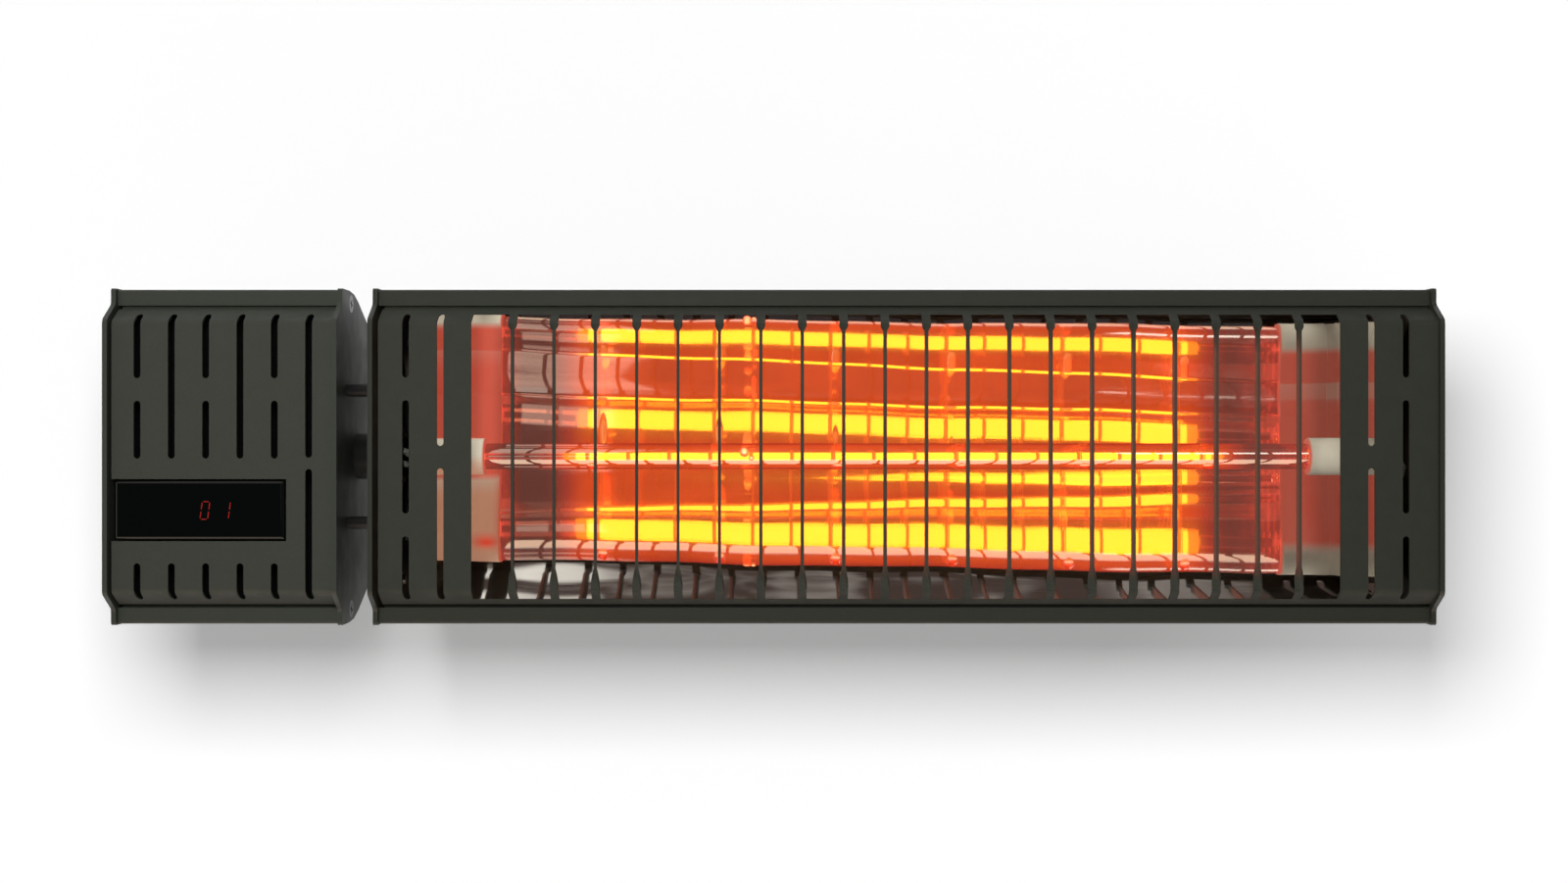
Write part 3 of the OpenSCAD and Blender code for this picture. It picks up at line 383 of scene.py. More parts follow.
def ceramic():
    colour = (0.5, 0.45, 0.345)
    made, tree, shader, place = material("lamp_ceramic", colour, 0.6, specular=0.35)
    shade(tree, shader, colour, noise(tree, place, 7, 4), 0.93, 1.07)
    pores = add(tree, "ShaderNodeTexVoronoi", {"Vector": place, "Scale": 900.0}).outputs["Distance"]
    bump(tree, shader, pores, 0.03, 0.35)
    normal = add(tree, "ShaderNodeSeparateXYZ", {0: add(tree, "ShaderNodeTexCoord").outputs["Normal"]})
    x = add(tree, "ShaderNodeSeparateXYZ", {0: place}).outputs["X"]
    at_left = ramp(tree, x, -0.01, 0.01, 1.0, 0.0)
    at_right = ramp(tree, at_left, 0.0, 1.0, 1.0, 0.0)
    # Millimetres behind the ceramic's face
    away = calc(tree, "ABSOLUTE", calc(tree, "ADD", x, -LAMP_X * MM))
    behind = calc(tree, "MULTIPLY_ADD", away, 1 / MM, -LAMP_HALF)

    # Red light that the mirror throws on the back of the ceramic
    turned = calc(tree, "MULTIPLY_ADD", at_left, 0.38, normal.outputs["Y"])
    blots = ramp(tree, noise(tree, place, 16, 2, 0.5, (1, 1, 0.6)), 0.35, 0.65, 0.92, 1.0)
    lit = calc(tree, "MULTIPLY", smooth(tree, turned, -0.1, 0.3), blots)
    # The left end gets it from above, and below only beside the face and as a spot
    above = ramp(tree, normal.outputs["Z"], -0.14, -0.02, 0.06, 1.0)
    from_belt = calc(tree, "ABSOLUTE", calc(tree, "ADD", behind, -5.85))
    belt = smooth(tree, from_belt, 0.0, 11.0, 1.0, 0.0)
    round_spot = calc(tree, "ABSOLUTE", calc(tree, "ADD", normal.outputs["Y"], 0.02))
    spot = calc(tree, "MULTIPLY", smooth(tree, round_spot, 0.0, 0.42, 1.1, 0.0), belt)
    spot = calc(tree, "MULTIPLY", spot, ramp(tree, normal.outputs["Z"], -0.3, -0.1, 1.0, 0.0))
    left_share = calc(tree, "MAXIMUM", above, ramp(tree, behind, 0.35, 3.85, 0.5, 0.0))
    left_share = calc(tree, "MAXIMUM", left_share, spot)
    lit = calc(tree, "MULTIPLY", lit, between(tree, at_left, 0.93, left_share))
    # The face round the glass gets the painted red light too
    lit = calc(tree, "MAXIMUM", lit, ramp(tree, behind, 0.2, 0.95, 0.9, 0.0), clamp=True)

    # Soft light on the rest, more on the left end, which stands nearer the light
    soft = between(tree, at_left, 0.12, 0.38)
    soft = calc(tree, "MULTIPLY", soft, ramp(tree, normal.outputs["Y"], -0.95, -0.6, 0.75, 1.0))
    strong = between(tree, at_left, ramp(tree, behind, 9.85, 17.85, 0.42, 0.25),
                     ramp(tree, from_belt, 1.5, 5.5, 0.64, 0.46))
    inside = calc(tree, "LESS_THAN", behind, between(tree, at_left, 28.35, 22.35))
    level = calc(tree, "MULTIPLY", between(tree, lit, soft, strong), inside)
    fair = calc(tree, "MAXIMUM", ramp(tree, normal.outputs["Z"], -0.4, 0.1, 0.0, 1.0), at_right)
    cream = blend(tree, fair, (1.0, 0.46, 0.28, 1), (1.0, 0.88, 0.68, 1))
    tint = blend(tree, ramp(tree, lit, 0.05, 1.0, 0.0, 1.0), cream, (1.0, 0.09, 0.045, 1))
    tree.links.new(tint, shader.inputs["Emission Color"])
    tree.links.new(level, shader.inputs["Emission Strength"])
    # Where the red light is painted, the base colour is painted dark red-brown as well
    mottled_colour = shader.inputs["Base Color"].links[0].from_socket
    tree.links.new(blend(tree, lit, mottled_colour, (0.2, 0.08, 0.06, 1)), shader.inputs["Base Color"])
    return made


def heat_ramp(tree, place, fall, half=HEAT_HALF):
    """1 along the heated zone of the lamp, falling to 0 over fall millimetres at both ends"""
    split = add(tree, "ShaderNodeSeparateXYZ", {0: place})
    away = calc(tree, "ABSOLUTE", calc(tree, "ADD", split.outputs["X"], -HEAT_X * MM))
    return smooth(tree, away, (half - fall * 0.4) * MM, (half + fall) * MM, 1.0, 0.0)


def end_glow(tree, place):
    """Red light that the glass carries to its two ends"""
    x = add(tree, "ShaderNodeSeparateXYZ", {0: place}).outputs["X"]
    right = ramp(tree, x, (LAMP_X + 146) * MM, (LAMP_X + 172) * MM, 0.0, 1.0)
    left = ramp(tree, x, (LAMP_X - 164) * MM, (LAMP_X - 173) * MM, 0.0, 1.0)
    both = calc(tree, "MAXIMUM", right, left)
    cloudy = ramp(tree, noise(tree, place, 4, 4, 0.65, (0.5, 1, 1)), 0.35, 0.65, 0.35, 1.1)
    return calc(tree, "MULTIPLY", both, cloudy)


def ruby_glass(name, rounded=False, level_hot=1.08, middle=(1.0, 0.25, 0.03, 1), outer=(1.0, 0.105, 0.02, 1)):
    """Tinted quartz that the filament lights up: clear film, gloss and an inner glow"""
    made, tree = blank_material(name)
    place = add(tree, "ShaderNodeTexCoord").outputs["Object"]
    heat = heat_ramp(tree, place, 15)
    edge = add(tree, "ShaderNodeLayerWeight", {"Blend": 0.5}).outputs["Facing"]
    streaks = ramp(tree, noise(tree, place, 5, 4, 0.6, (0.12, 1, 1)), 0.3, 0.7, 0.8, 1.15)
    # Seen through its middle the tube glows orange, and deep red where its wall is seen edge on
    near = ramp(tree, edge, 0.0, 0.35 if rounded else 0.12, 0.0, 1.0)
    inner = blend(tree, near, middle, outer)
    rim = ramp(tree, edge, 0.3, 0.8, 0.0, 1.0)
    hot = blend(tree, rim, inner, (0.62, 0.028, 0.01, 1))
    level = calc(tree, "MULTIPLY", heat, streaks)
    level = calc(tree, "MULTIPLY", level, level_hot)
    cooling = ramp(tree, heat, 0.55, 1.0, 0.0, 1.0)
    hot = blend(tree, cooling, (0.9, 0.075, 0.03, 1), hot)
    glow = add(tree, "ShaderNodeEmission", {"Color": hot, "Strength": level})
    ends = calc(tree, "MULTIPLY", end_glow(tree, place), 0.5)
    ends = add(tree, "ShaderNodeEmission", {"Color": (1.0, 0.055, 0.025, 1), "Strength": ends})
    glow = add(tree, "ShaderNodeAddShader", {0: glow.outputs[0], 1: ends.outputs[0]})
    # Painted dull red glow on the glass beyond the heated zone
    cool_end_glow = add(tree, "ShaderNodeEmission", {"Color": (0.2, 0.058, 0.042, 1),
                                            "Strength": ramp(tree, heat, 0.0, 1.0, 1.0, 0.0)})
    glow = add(tree, "ShaderNodeAddShader", {0: glow.outputs[0], 1: cool_end_glow.outputs[0]})
    tint = blend(tree, heat, (0.74, 0.47, 0.38, 1), (0.78, 0.34, 0.2, 1))
    clear = add(tree, "ShaderNodeBsdfTransparent", {"Color": tint})
    body = add(tree, "ShaderNodeAddShader", {0: clear.outputs[0], 1: glow.outputs[0]})
    gloss = add(tree, "ShaderNodeBsdfGlossy", {"Color": (1.0, 0.9, 0.82, 1), "Roughness": 0.03})
    fresnel = add(tree, "ShaderNodeFresnel", {"IOR": 3.9}).outputs[0]
    mix = add(tree, "ShaderNodeMixShader", {0: fresnel, 1: body.outputs[0], 2: gloss.outputs[0]})
    add(tree, "ShaderNodeOutputMaterial", {"Surface": mix.outputs[0]})
    return made


def hot_wire(name, colour, start, strength, cold=(0.12, 0.1, 0.09)):
    """Tungsten that glows along the heated zone and is dull metal beyond it"""
    made, tree, shader, place = material(name, cold, 0.4, metallic=1.0)
    heat = heat_ramp(tree, place, 1.5)
    # The supports cool the filament where they hold it
    x = add(tree, "ShaderNodeSeparateXYZ", {0: place}).outputs["X"]
    from_first = calc(tree, "ADD", x, -SUPPORT_X * MM)
    apart = calc(tree, "PINGPONG", from_first, SUPPORT_PITCH / 2 * MM)
    cool = ramp(tree, apart, 0.0004, 0.0011, 1.0, 0.0)
    bright = heat_ramp(tree, place, 0.8, BRIGHT_HALF)
    mix = blend(tree, bright, (*start, 1), (*colour, 1))
    mix = blend(tree, cool, mix, (0.4, 0.09, 0.008, 1))
    tree.links.new(mix, shader.inputs["Emission Color"])
    tree.links.new(calc(tree, "MULTIPLY", heat, strength), shader.inputs["Emission Strength"])
    return made


def display_black():
    made, tree, shader, place = material("display_black", (0.0012, 0.0022, 0.002), 0.07, specular=0.4)
    tree.links.new(ramp(tree, noise(tree, place, 14, 3), 0.3, 0.7, 0.05, 0.1), shader.inputs["Roughness"])
    return made


def lit_segment():
    made, tree, shader, place = material("lit_segment", (0.05, 0.004, 0.004), 0.4)
    shader.inputs["Emission Color"].default_value = (0.5, 0.012, 0.008, 1)
    level = ramp(tree, noise(tree, place, 1.2, 1), 0.3, 0.7, 0.35, 0.6)
    tree.links.new(level, shader.inputs["Emission Strength"])
    return made


# The heater and the control box have the same powder coat. The control box's copy is painted lighter, as painted
# light for the stronger light on the left end.
coat = powder_coat("anthracite_aluminium", (0.0255, 0.027, 0.0205))
coat_control_lit_copy = powder_coat("anthracite_control_lit", (0.0315, 0.0355, 0.028))
coat_panel = powder_coat("anthracite_panel", (0.034, 0.0375, 0.0295), 0.6)
coat_sheet = lamp_lit(powder_coat("anthracite_sheet", (0.029, 0.0315, 0.0245), 0.72))
mirror = polished("polished_reflector")
glass = ruby_glass("ruby_quartz")
glass_bead = ruby_glass("glass_bead", True, 0.9, (1.0, 0.34, 0.07, 1), (0.3, 0.02, 0.008, 1))
# The sealing tip glows like the rest of the glass, and brighter and paler as a painted glint.
tip_glass_glint = ruby_glass("tip_glass_glint", True, 1.5, (1.0, 0.72, 0.3, 1), (1.0, 0.16, 0.03, 1))
white_ceramic = ceramic()
filament_metal = hot_wire("hot_filament", (1.0, 0.92, 0.06), (0.5, 0.19, 0.01), 4.0)
support_metal = hot_wire("support_wire", (1.0, 0.3, 0.03), (0.5, 0.1, 0.02), 0.8)
wire_sleeve = plastic("wire_sleeve", (0.5, 0.49, 0.44), 0.7, 0.4, 0.03)
brown_sleeve = plastic("brown_sleeve", (0.2, 0.09, 0.04), 0.5)
gloss_black = display_black()
black_plastic = plastic("black_plastic", (0.018, 0.018, 0.018), 0.45)
insulating_fibre = plastic("insulating_fibre", (0.006, 0.006, 0.006), 0.8, 0.5, 0.03, 0.2)
black_nylon = plastic("black_nylon", (0.007, 0.007, 0.007), 0.4)
black_rubber = plastic("black_rubber", (0.015, 0.015, 0.015), 0.75, 0.4, 0.02)
circuit_board = plastic("circuit_board", (0.02, 0.09, 0.045), 0.35, 0.6, 0.01)
relay_blue = plastic("relay_blue", (0.03, 0.06, 0.22), 0.4)
capacitor_yellow = plastic("capacitor_yellow", (0.5, 0.36, 0.04), 0.4)
transformer_core = plastic("transformer_core", (0.05, 0.045, 0.04), 0.55)
bare_aluminium = steel("bare_aluminium", (0.8, 0.81, 0.82), 0.3, (0.1, 1, 1))
terminal_plastic = plastic("terminal_plastic", (0.6, 0.59, 0.53), 0.5)
zinc_steel = steel("zinc_steel", (0.62, 0.62, 0.63), 0.32)
black_steel = steel("black_steel", (0.09, 0.09, 0.09), 0.3)
bracket_steel = powder_coat("bracket_steel", (0.04, 0.042, 0.038))
nylon_white = plastic("nylon_white", (0.62, 0.61, 0.57), 0.45)

FINISH = {
    coat: ["heater_housing", "heater_cap_left", "heater_cap_right"],
    coat_control_lit_copy: ["control_housing", "control_cap_left", "control_cap_right"],
    coat_sheet: ["heater_guard"],
    coat_panel: ["control_panel"],
    mirror: ["reflector", "reflector_end_left", "reflector_end_right"],
    wire_sleeve: ["lamp_wire_left", "lamp_wire_right"],
    gloss_black: ["display_window"],
    black_plastic: ["display_housing", "digit_module", "cable_gland", "gland_nut", "gland_locknut"],
    black_nylon: ["link_tube", "link_spacers"],
    black_rubber: ["gland_seal"],
    insulating_fibre: ["insulating_sheet"],
    circuit_board: ["display_board", "power_board"],
    zinc_steel: ["board_standoffs", "link_locknuts", "link_screws", "link_nuts", "bracket_bolts",
                 "bracket_washers", "bracket_nuts", "pivot_bolt", "pivot_spacer", "pivot_washers", "pivot_nut"],
    black_steel: ["cap_screws"],
    relay_blue: ["relays"],
    capacitor_yellow: ["capacitor"],
    transformer_core: ["transformer"],
    bare_aluminium: ["heatsink"],
    terminal_plastic: ["terminal_block"],
    brown_sleeve: ["mains_wires"],
    bracket_steel: ["wall_bracket", "heater_bracket"],
    nylon_white: ["friction_washers"],
}
for finish, names in FINISH.items():
    for name in names:
        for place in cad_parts[name].material_slots:
            place.material = finish


# ---- Mesh helpers ----

def point(x, depth, z):
    return (x * MM, (depth + FLANGE) * MM, z * MM)


def piece(name, verts, faces, finish, body, replaced=(), smooth_angle=35.0):
    """Object from points in metres, riding on a body. Faces that meet at less than smooth_angle look
    smooth."""
    mesh = bpy.data.meshes.new(name)
    mesh.from_pydata(verts, [], faces)
    mesh.validate()
    work = bmesh.new()
    work.from_mesh(mesh)
    bmesh.ops.remove_doubles(work, verts=work.verts, dist=1e-7)
    bmesh.ops.recalc_face_normals(work, faces=work.faces)
    work.to_mesh(mesh)
    work.free()
    mesh.materials.append(finish)
    mesh.shade_smooth()
    mesh.set_sharp_from_angle(angle=math.radians(smooth_angle))
    obj = bpy.data.objects.new(name, mesh)
    bpy.context.scene.collection.objects.link(obj)
    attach(obj, body)
    if replaced:
        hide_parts(*replaced)
    return obj


def lathe_x(profile, sides=48, centre=(LAMP_DEPTH, 0.0)):
    """Surface turned about a line along x, from (x, radius) points. A first or last radius of 0 closes it."""
    verts, faces, rings = [], [], []
    for x, r in profile:
        if r <= 0:
            rings.append([len(verts)])
            verts.append(point(x, *centre))
            continue
        ring = []
        for k in range(sides):
            a = 2 * math.pi * k / sides
            ring.append(len(verts))
            verts.append(point(x, centre[0] + r * math.cos(a), centre[1] + r * math.sin(a)))
        rings.append(ring)
    for low, high in zip(rings, rings[1:]):
        for k in range(sides):
            n = (k + 1) % sides
            quad = [low[k % len(low)], low[n % len(low)], high[n % len(high)], high[k % len(high)]]
            quad = [v for i, v in enumerate(quad) if v not in quad[:i]]
            if len(quad) > 2:
                faces.append(quad)
    return verts, faces


def sweep(path, radius, sides):
    """Round wire along a path of points in metres. radius is in millimetres."""
    path = np.array(path, float)
    count = len(path)
    ahead = np.roll(path, -1, 0) - np.roll(path, 1, 0)
    ahead[0], ahead[-1] = path[1] - path[0], path[-1] - path[-2]
    ahead /= np.linalg.norm(ahead, axis=1)[:, None]
    side = np.cross(ahead[0], (0.0, 0.3, 1.0))
    verts, faces = [], []
    for i in range(count):
        side = side - ahead[i] * side.dot(ahead[i])
        side /= np.linalg.norm(side)
        up = np.cross(ahead[i], side)
        for k in range(sides):
            a = 2 * math.pi * k / sides
            verts.append(tuple(path[i] + radius * MM * (math.cos(a) * side + math.sin(a) * up)))
    for i in range(count - 1):
        for k in range(sides):
            n = (k + 1) % sides
            faces.append((i * sides + k, i * sides + n, (i + 1) * sides + n, (i + 1) * sides + k))
    faces.append(tuple(reversed(range(sides))))
    faces.append(tuple((count - 1) * sides + k for k in range(sides)))
    return verts, faces


BOX_FACES = [(0, 1, 3, 2), (4, 6, 7, 5), (0, 4, 5, 1), (2, 3, 7, 6), (0, 2, 6, 4), (1, 5, 7, 3)]


def block(xs, depths, zs):
    """Box between the two values along each axis"""
    return [point(x, depth, z) for x in xs for depth in depths for z in zs], BOX_FACES


def join(*parts):
    verts, faces = [], []
    for v, f in parts:
        base = len(verts)
        verts.extend(v)
        faces.extend(tuple(i + base for i in face) for face in f)
    return verts, faces


def soften(node, finish, width):
    """Copy of a CAD node with its sharp edges slightly rounded, in the node's place"""
    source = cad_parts[node]
    mesh = source.data.copy()
    mesh.transform(source.matrix_world)
    work = bmesh.new()
    work.from_mesh(mesh)
    bmesh.ops.remove_doubles(work, verts=work.verts, dist=2e-6)
    bmesh.ops.dissolve_limit(work, angle_limit=math.radians(1.0), verts=work.verts, edges=work.edges)
    sharp = [e for e in work.edges if len(e.link_faces) == 2 and e.calc_face_angle(0) > math.radians(32)]
    bmesh.ops.bevel(work, geom=sharp, offset=width * MM, segments=2, profile=0.5, affect="EDGES",
                    clamp_overlap=True)
    work.to_mesh(mesh)
    work.free()
    mesh.materials.clear()
    mesh.materials.append(finish)
    mesh.shade_smooth()
    mesh.set_sharp_from_angle(angle=math.radians(40))
    obj = bpy.data.objects.new(node + "_soft", mesh)
    bpy.context.scene.collection.objects.link(obj)
    # Large flat faces keep flat shading up to the rounded edges
    weighted = obj.modifiers.new("normals", "WEIGHTED_NORMAL")
    weighted.keep_sharp = True
    shaped = obj.evaluated_get(bpy.context.evaluated_depsgraph_get())
    obj.data = bpy.data.meshes.new_from_object(shaped)
    obj.modifiers.clear()
    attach(obj, "heater")
    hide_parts(node)


# ---- Reflector ----

RIM_Z = 59.5
RIM_DEPTH = 8.9
VERTEX = 44.3
EYE = (-800.0, 6.3)     # depth and height that the trough is set out from
TROUGH_HALF = 212.0
TROUGH_STEPS = 190      # in half of its height
SHEET = 0.8
TIP_Z = 66.0
PLATE_X = 198.0         # where the end plates stand

# How far a ray from the eye misses the lamp's middle after one reflection, in front of it where negative.
# Rows: height at LEFT_X, height at RIGHT_X, miss at LEFT_X, miss at RIGHT_X.
LEFT_X, RIGHT_X = -120.0, 97.0
UPPER = [(0, 0, -2.7, -2.4), (5.2, 3.0, -2.7, -2.3), (12.0, 5.7, -1.7, -1.7), (20.5, 15.0, 1.7, 1.7),
         (22.6, 17.1, 2.8, 2.8), (24.2, 18.4, 2.8, 2.8), (26.0, 20.4, -2.8, -2.8), (34.3, 26.8, -3.9, -4.2),
         (42.3, 33.4, -2.8, -2.8), (44.1, 35.4, 2.8, 2.8), (46.0, 40.0, 2.8, 3.2), (48.4, 44.0, 1.7, 1.7),
         (53.9, 49.6, -1.7, -1.7), (57.7, 55.4, -5.5, -5.5), (59.5, 59.5, -8, -14)]
LOWER = [(0, 0, 2.7, 2.4), (6.3, 7.1, 2.7, 1.5), (9.3, 9.8, 2.7, 0.0), (12.2, 12.6, 2.7, 1.6),
         (20.9, 15.2, 2.6, 2.8), (22.1, 16.6, 2.2, 2.0), (23.1, 19.4, 0.0, 0.3), (24.1, 22.0, 2.2, 2.0),
         (25.3, 24.5, 2.5, 2.7), (27.3, 30.6, 1.7, 1.7), (36.3, 41.5, -1.7, -1.7), (37.9, 42.5, -2.6, -2.4),
         (44.7, 48.6, -5.5, -5.5), (45.4, 49.3, -9, -9), (50, 52.5, -15, -15), (59.5, 59.5, -22, -22)]


def trough(xs):
    """Depth of the mirror at evenly spaced heights, lower rim first, for each x"""
    share = np.clip((xs - LEFT_X) / (RIGHT_X - LEFT_X), -0.3, 1.25)
    halves = []
    for side, rows in ((1, UPPER), (-1, LOWER)):
        rows = np.array(rows, float)
        heights = np.linspace(0, RIM_Z, 2 * TROUGH_STEPS + 1)
        miss = np.empty((len(xs), len(heights)))
        for i, s in enumerate(share):
            knots = np.maximum.accumulate(rows[:, 0] + (rows[:, 1] - rows[:, 0]) * s)
            # Slight waves along the sheet
            wave = 0.9 * np.sin(xs[i] / 21 + 1) + 0.5 * np.sin(xs[i] / 8.3)
            miss[i] = np.interp(heights + 0.35 * wave, knots, rows[:, 2] + (rows[:, 3] - rows[:, 2]) * s)

        def slope(depth, k):
            z = side * heights[k]
            ray = np.hypot(depth - EYE[0], z - EYE[1])
            to_lamp = np.hypot(LAMP_DEPTH - depth, z)
            in_d, in_z = (depth - EYE[0]) / ray, (z - EYE[1]) / ray
            to_d, to_z = (LAMP_DEPTH - depth) / to_lamp, -z / to_lamp
            sine = np.clip(side * miss[:, k] / to_lamp, -0.95, 0.95)
            cosine = np.sqrt(1 - sine * sine)
            out_d, out_z = to_d * cosine - to_z * sine, to_d * sine + to_z * cosine
            return -side * (out_z - in_z) / (out_d - in_d)

        step = RIM_Z / TROUGH_STEPS
        depth = np.full(len(xs), VERTEX)
        path = [depth]
        for k in range(TROUGH_STEPS):
            half_way = depth + slope(depth, 2 * k) * step / 2
            depth = depth + slope(half_way, 2 * k + 1) * step
            path.append(depth)
        halves.append(np.array(path).T)
    upper, lower = halves
    return np.hstack([lower[:, :0:-1], upper])


def add_reflector():
    """Mirror sheet with a flange along both rims"""
    xs = np.linspace(-TROUGH_HALF, TROUGH_HALF, 161)
    depths = trough(xs)
    zs = np.linspace(-RIM_Z, RIM_Z, 2 * TROUGH_STEPS + 1)
    flange_z = np.array([60.3, 62.0, TIP_Z])
    lean = np.array([0.55, 0.1, 0.0])
    low = RIM_DEPTH + (depths[:, :1] - RIM_DEPTH) * lean[::-1]
    high = RIM_DEPTH + (depths[:, -1:] - RIM_DEPTH) * lean
    depths = np.hstack([low, depths, high])
    zs = np.concatenate([-flange_z[::-1], zs, flange_z])
    rows, cols = len(zs), len(xs)
    slope = np.gradient(depths, zs, axis=1)
    push = SHEET / np.sqrt(1 + slope ** 2)
    front = [point(xs[i], depths[i, j], zs[j]) for i in range(cols) for j in range(rows)]
    back = [point(xs[i], depths[i, j] + push[i, j], zs[j] - push[i, j] * slope[i, j]) for i in range(cols)
            for j in range(rows)]
    faces = []
    size = rows * cols
    for i in range(cols - 1):
        for j in range(rows - 1):
            a, b, c, d = i * rows + j, i * rows + j + 1, (i + 1) * rows + j + 1, (i + 1) * rows + j
            faces.append((a, b, c, d))
            faces.append((a + size, d + size, c + size, b + size))
    for i in range(cols - 1):
        for j in (0, rows - 1):
            a, b = i * rows + j, (i + 1) * rows + j
            faces.append((a, b, b + size, a + size))
    for j in range(rows - 1):
        for i in (0, cols - 1):
            a, b = i * rows + j, i * rows + j + 1
            faces.append((a, b, b + size, a + size))
    piece("reflector_trough", front + back, faces, mirror, "heater", ["reflector"], 50)


def add_end_plate(name, node, x, side):
    """Polished plate across the trough, cut to its shape, with a hole for the lamp's ceramic end and a lip
    at its front"""
    every, hole_r, hole_sides, lip_long, lip_half = 6, CERAMIC_R + 0.1, 48, 8.0, 48.0
    depths = trough(np.array([float(x)]))[0][::every]
    zs = np.linspace(-RIM_Z, RIM_Z, 2 * TROUGH_STEPS + 1)[::every]
    outline = [(d - 0.03, z * 0.999) for d, z in zip(depths, zs)]
    hole = [(LAMP_DEPTH + hole_r * math.cos(a), hole_r * math.sin(a)) for a in
            (2 * math.pi * k / hole_sides for k in range(hole_sides))]
    flat = [Vector((d, z, 0)) for d, z in outline + hole]
    triangles = tessellate_polygon([flat[:len(outline)], flat[len(outline):]])
    count = len(flat)
    verts = [point(face_x, p.x, p.y) for face_x in (x, x + side * SHEET) for p in flat]
    faces = [tuple(t) for t in triangles] + [tuple(i + count for i in reversed(t)) for t in triangles]
    for start, size in ((0, len(outline)), (len(outline), len(hole))):
        for k in range(size):
            a, b = start + k, start + (k + 1) % size
            faces.append((a, b, b + count, a + count))
    lip = block((x, x + side * lip_long), (RIM_DEPTH - SHEET, RIM_DEPTH - 0.02), (-lip_half, lip_half))
    verts, faces = join((verts, faces), lip)
    piece(name, verts, faces, mirror, "heater", [node], 30)


# ---- Lamp ----

def add_lamp():
    """Glass tube with pressed seals inside the ceramic ends, dimples and the sealed filling tip"""
    sealed = LAMP_HALF + 4
    end = sealed + 1.2
    half = [(120, TUBE_R), (end - 3.4, TUBE_R), (end - 2.6, TUBE_R), (end - 1.9, TUBE_R), (end - 0.8, 5.0),
            (end, 3.4), (end, 0)]
    profile = ([(LAMP_X - x, r) for x, r in reversed(half)] + [(LAMP_X, TUBE_R)]
               + [(LAMP_X + x, r) for x, r in half])
    seals = [block((LAMP_X + side * (sealed - 0.5), LAMP_X + side * (sealed + 8)),
                   (LAMP_DEPTH - 1.3, LAMP_DEPTH + 1.3), (-4.5, 4.5)) for side in (-1, 1)]
    verts, faces = join(lathe_x(profile, 72), *seals)
    piece("lamp_glass", verts, faces, glass, "heater", ["lamp_tube"], 40)
    dimples = [bead(SUPPORT_X + i * DIMPLE_PITCH + 2.2, math.radians(angle), *size)
               for angle, size in ((48, (2.6, 0.55, 1.9)), (228, (2.2, 0.5, 1.6))) for i in range(6)]
    verts, faces = join(*dimples)
    piece("glass_beads", verts, faces, glass_bead, "heater", smooth_angle=60)
    tip_x = LAMP_X - 64
    verts, faces = join(bead(tip_x, math.radians(-22), 2.1, 2.6, 2.2),
                        bead(tip_x + 3.0, math.radians(6), 1.2, 1.3, 1.1))
    piece("sealing_tip", verts, faces, tip_glass_glint, "heater", smooth_angle=60)


def bead(x, angle, length, height, width):
    """Small rounded swelling on the tube, angle down from the front. It starts sunk below the surface."""
    verts, faces = [], []
    rings, sides, sunk = 6, 16, 0.25
    for i in range(rings + 1):
        lift = math.cos(math.pi / 2 * i / rings)
        spread = math.sin(math.pi / 2 * i / rings)
        for k in range(sides):
            a = 2 * math.pi * k / sides
            across = spread * width * math.sin(a)
            drop = TUBE_R - math.sqrt(TUBE_R ** 2 - across ** 2)
            r = TUBE_R - sunk + (height + sunk) * lift - drop * (1 - lift)
            depth = LAMP_DEPTH - r * math.cos(angle) + across * math.sin(angle)
            z = -r * math.sin(angle) - across * math.cos(angle)
            verts.append(point(x + spread * length * math.cos(a), depth, z))
    for i in range(rings):
        for k in range(sides):
            n = (k + 1) % sides
            faces.append((i * sides + k, (i + 1) * sides + k, (i + 1) * sides + n, i * sides + n))
    faces.append(tuple(reversed([rings * sides + k for k in range(sides)])))
    return verts, faces


def add_filament():
    """Coiled filament with straight leads, and a core that keeps the coil even"""
    pitch, wire, coil_r, core_r, lead_r, lead_long = 0.95, 0.27, 1.43, 1.25, 0.6, 33
    turns = int(2 * HEAT_HALF / pitch)
    per_turn = 10
    left, right = HEAT_X - HEAT_HALF, HEAT_X + HEAT_HALF
    coil = []
    for i in range(turns * per_turn + 1):
        a = 2 * math.pi * i / per_turn
        coil.append(point(left + pitch * i / per_turn, LAMP_DEPTH + coil_r * math.cos(a),
                          coil_r * math.sin(a)))
    parts = [sweep(coil, wire, 6), lathe_x([(left, 0), (left, core_r), (right, core_r), (right, 0)], 16)]
    for start, stop in ((left, left - lead_long), (right, right + lead_long)):
        parts.append(lathe_x([(start, 0), (start, lead_r), (stop, lead_r), (stop, 0)], 12))
    verts, faces = join(*parts)
    piece("filament_coil", verts, faces, filament_metal, "heater", ["lamp_filament"], 60)


def add_supports():
    """Wire rings round the filament. Every third one winds out to the glass."""
    inner_r, outer_r, wire, steps, advance = 1.95, 4.7, 0.2, 20, 0.03
    parts = []
    for i in range(-1, 17):
        x = SUPPORT_X + i * SUPPORT_PITCH
        held = i % 3 == 0
        path = []
        for k in range((3 if held else 2) * steps + 1):
            a = 2 * math.pi * k / steps
            grow = min(1.0, max(0.0, (k - steps) / steps)) if held else 0.25 * min(1.0, k / steps)
            r = inner_r + (outer_r - inner_r) * grow
            path.append(point(x - 0.9 + advance * k, LAMP_DEPTH + r * math.cos(a), r * math.sin(a)))
        parts.append(sweep(path, wire, 6))
    verts, faces = join(*parts)
    piece("support_coils", verts, faces, support_metal, "heater", ["filament_supports"], 60)


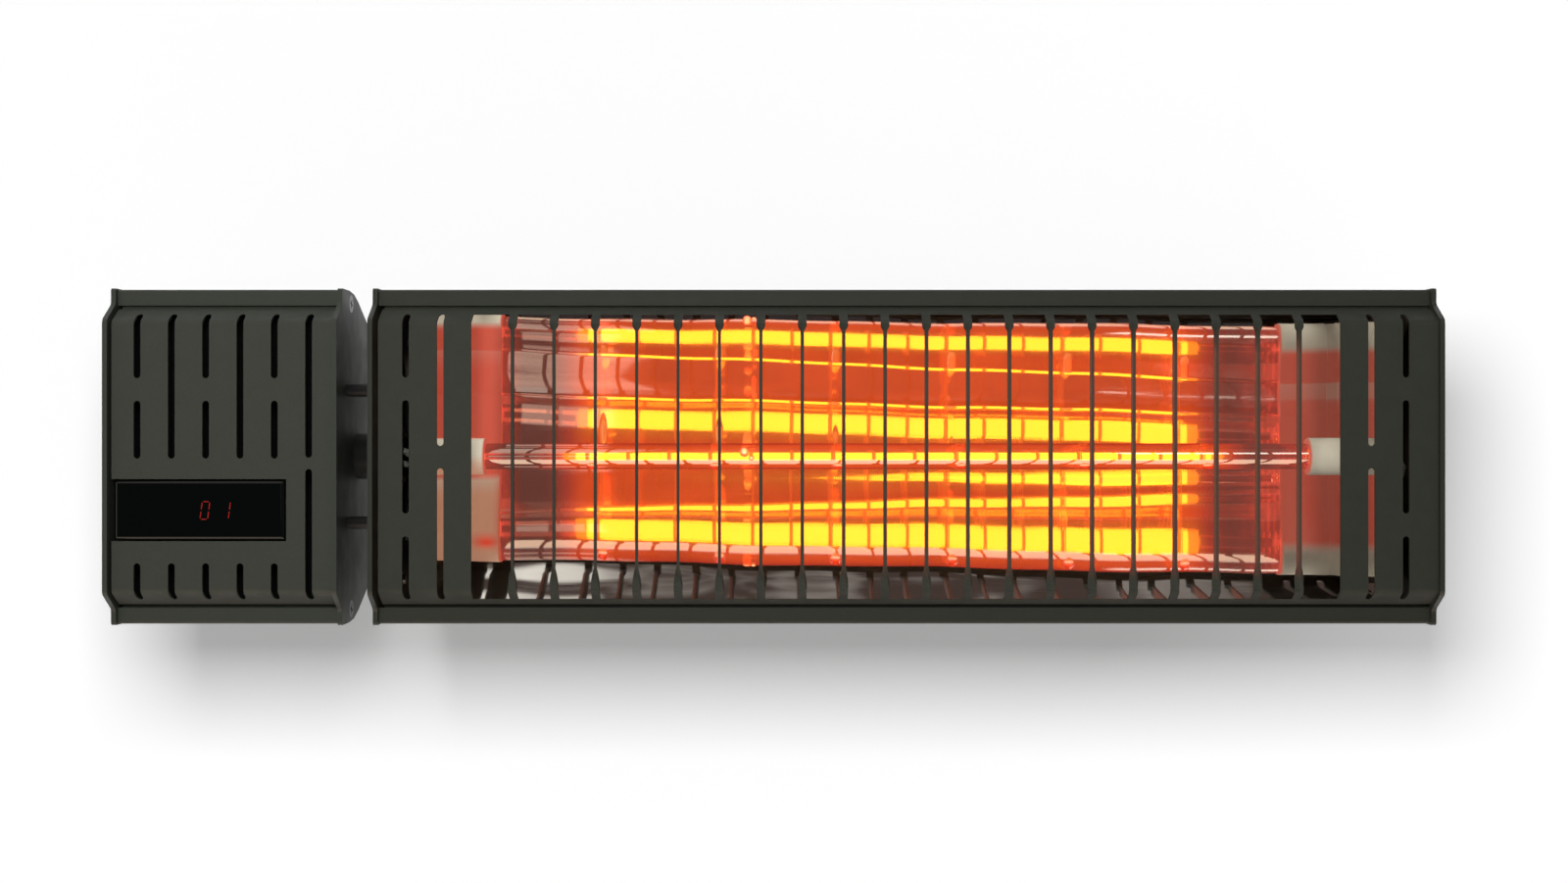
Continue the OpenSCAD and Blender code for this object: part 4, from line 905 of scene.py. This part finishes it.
def add_ceramic_end(name, node, side):
    """Ceramic end with the socket for the glass, a groove near its tail and the hole for the wire"""
    r, edge, tail, groove, deep = CERAMIC_R, 0.7, 28.0, 21.0, 0.6
    # Radii by the distance behind the face
    profile = [(14, 0), (14, 5.62), (0.3, 5.62), (0, 5.9), (0, r - edge), (edge * 0.3, r - edge * 0.3),
               (edge, r), (groove - 0.4, r), (groove, r - 0.4), (groove + 0.3, r - deep), (tail - 2.4, r - deep),
               (tail - 1.8, r), (tail - edge, r), (tail - edge * 0.3, r - edge * 0.3), (tail, r - edge),
               (tail, 1.7), (tail - 6, 1.65), (tail - 6, 0)]
    verts, faces = lathe_x([(LAMP_X + side * (LAMP_HALF + back), radius) for back, radius in profile], 64)
    piece(name, verts, faces, white_ceramic, "heater", [node], 40)


# ---- Display ----

SEGMENTS = {"0": "abcdef", "1": "bc"}


def add_digits():
    """Two slanted seven-segment digits that shine through the display window"""
    w, h, thick, slant, gap = 3.1, 7.2, 0.42, 0.13, 0.35
    front, foot = -9.6, -25.4
    bars = {
        "a": ((0, h), (w, h)), "b": ((w, h), (w, h / 2)), "c": ((w, h / 2), (w, 0)),
        "d": ((0, 0), (w, 0)), "e": ((0, h / 2), (0, 0)), "f": ((0, h), (0, h / 2)),
    }
    parts = []
    for text, left in (("0", -287.6), ("1", -279.2)):
        for key in SEGMENTS[text]:
            start, stop = Vector(bars[key][0]), Vector(bars[key][1])
            along = (stop - start).normalized()
            across = Vector((-along.y, along.x)) * thick / 2
            taper = along * thick / 2
            start, stop = start + along * gap, stop - along * gap
            outline = [start, start + taper + across, stop - taper + across, stop, stop - taper - across,
                       start + taper - across]
            verts = [point(left + p.x + p.y * slant, depth, foot + p.y)
                     for depth in (front - 0.03, front + 0.05) for p in outline]
            faces = [tuple(range(6)), tuple(reversed(range(6, 12)))]
            faces += [(k, (k + 1) % 6, (k + 1) % 6 + 6, k + 6) for k in range(6)]
            parts.append((verts, faces))
    verts, faces = join(*parts)
    piece("display_digits", verts, faces, lit_segment(), "heater")


for node in FINISH[coat]:
    soften(node, coat, 0.25)
for node in FINISH[coat_control_lit_copy]:
    soften(node, coat_control_lit_copy, 0.25)
soften("control_panel", coat_panel, 0.15)
soften("display_window", gloss_black, 0.4)
add_reflector()
add_end_plate("end_plate_left", "reflector_end_left", -PLATE_X, -1)
add_end_plate("end_plate_right", "reflector_end_right", PLATE_X, 1)
add_lamp()
add_filament()
add_supports()
add_ceramic_end("ceramic_end_left", "lamp_ceramic_left", -1)
add_ceramic_end("ceramic_end_right", "lamp_ceramic_right", 1)
add_digits()
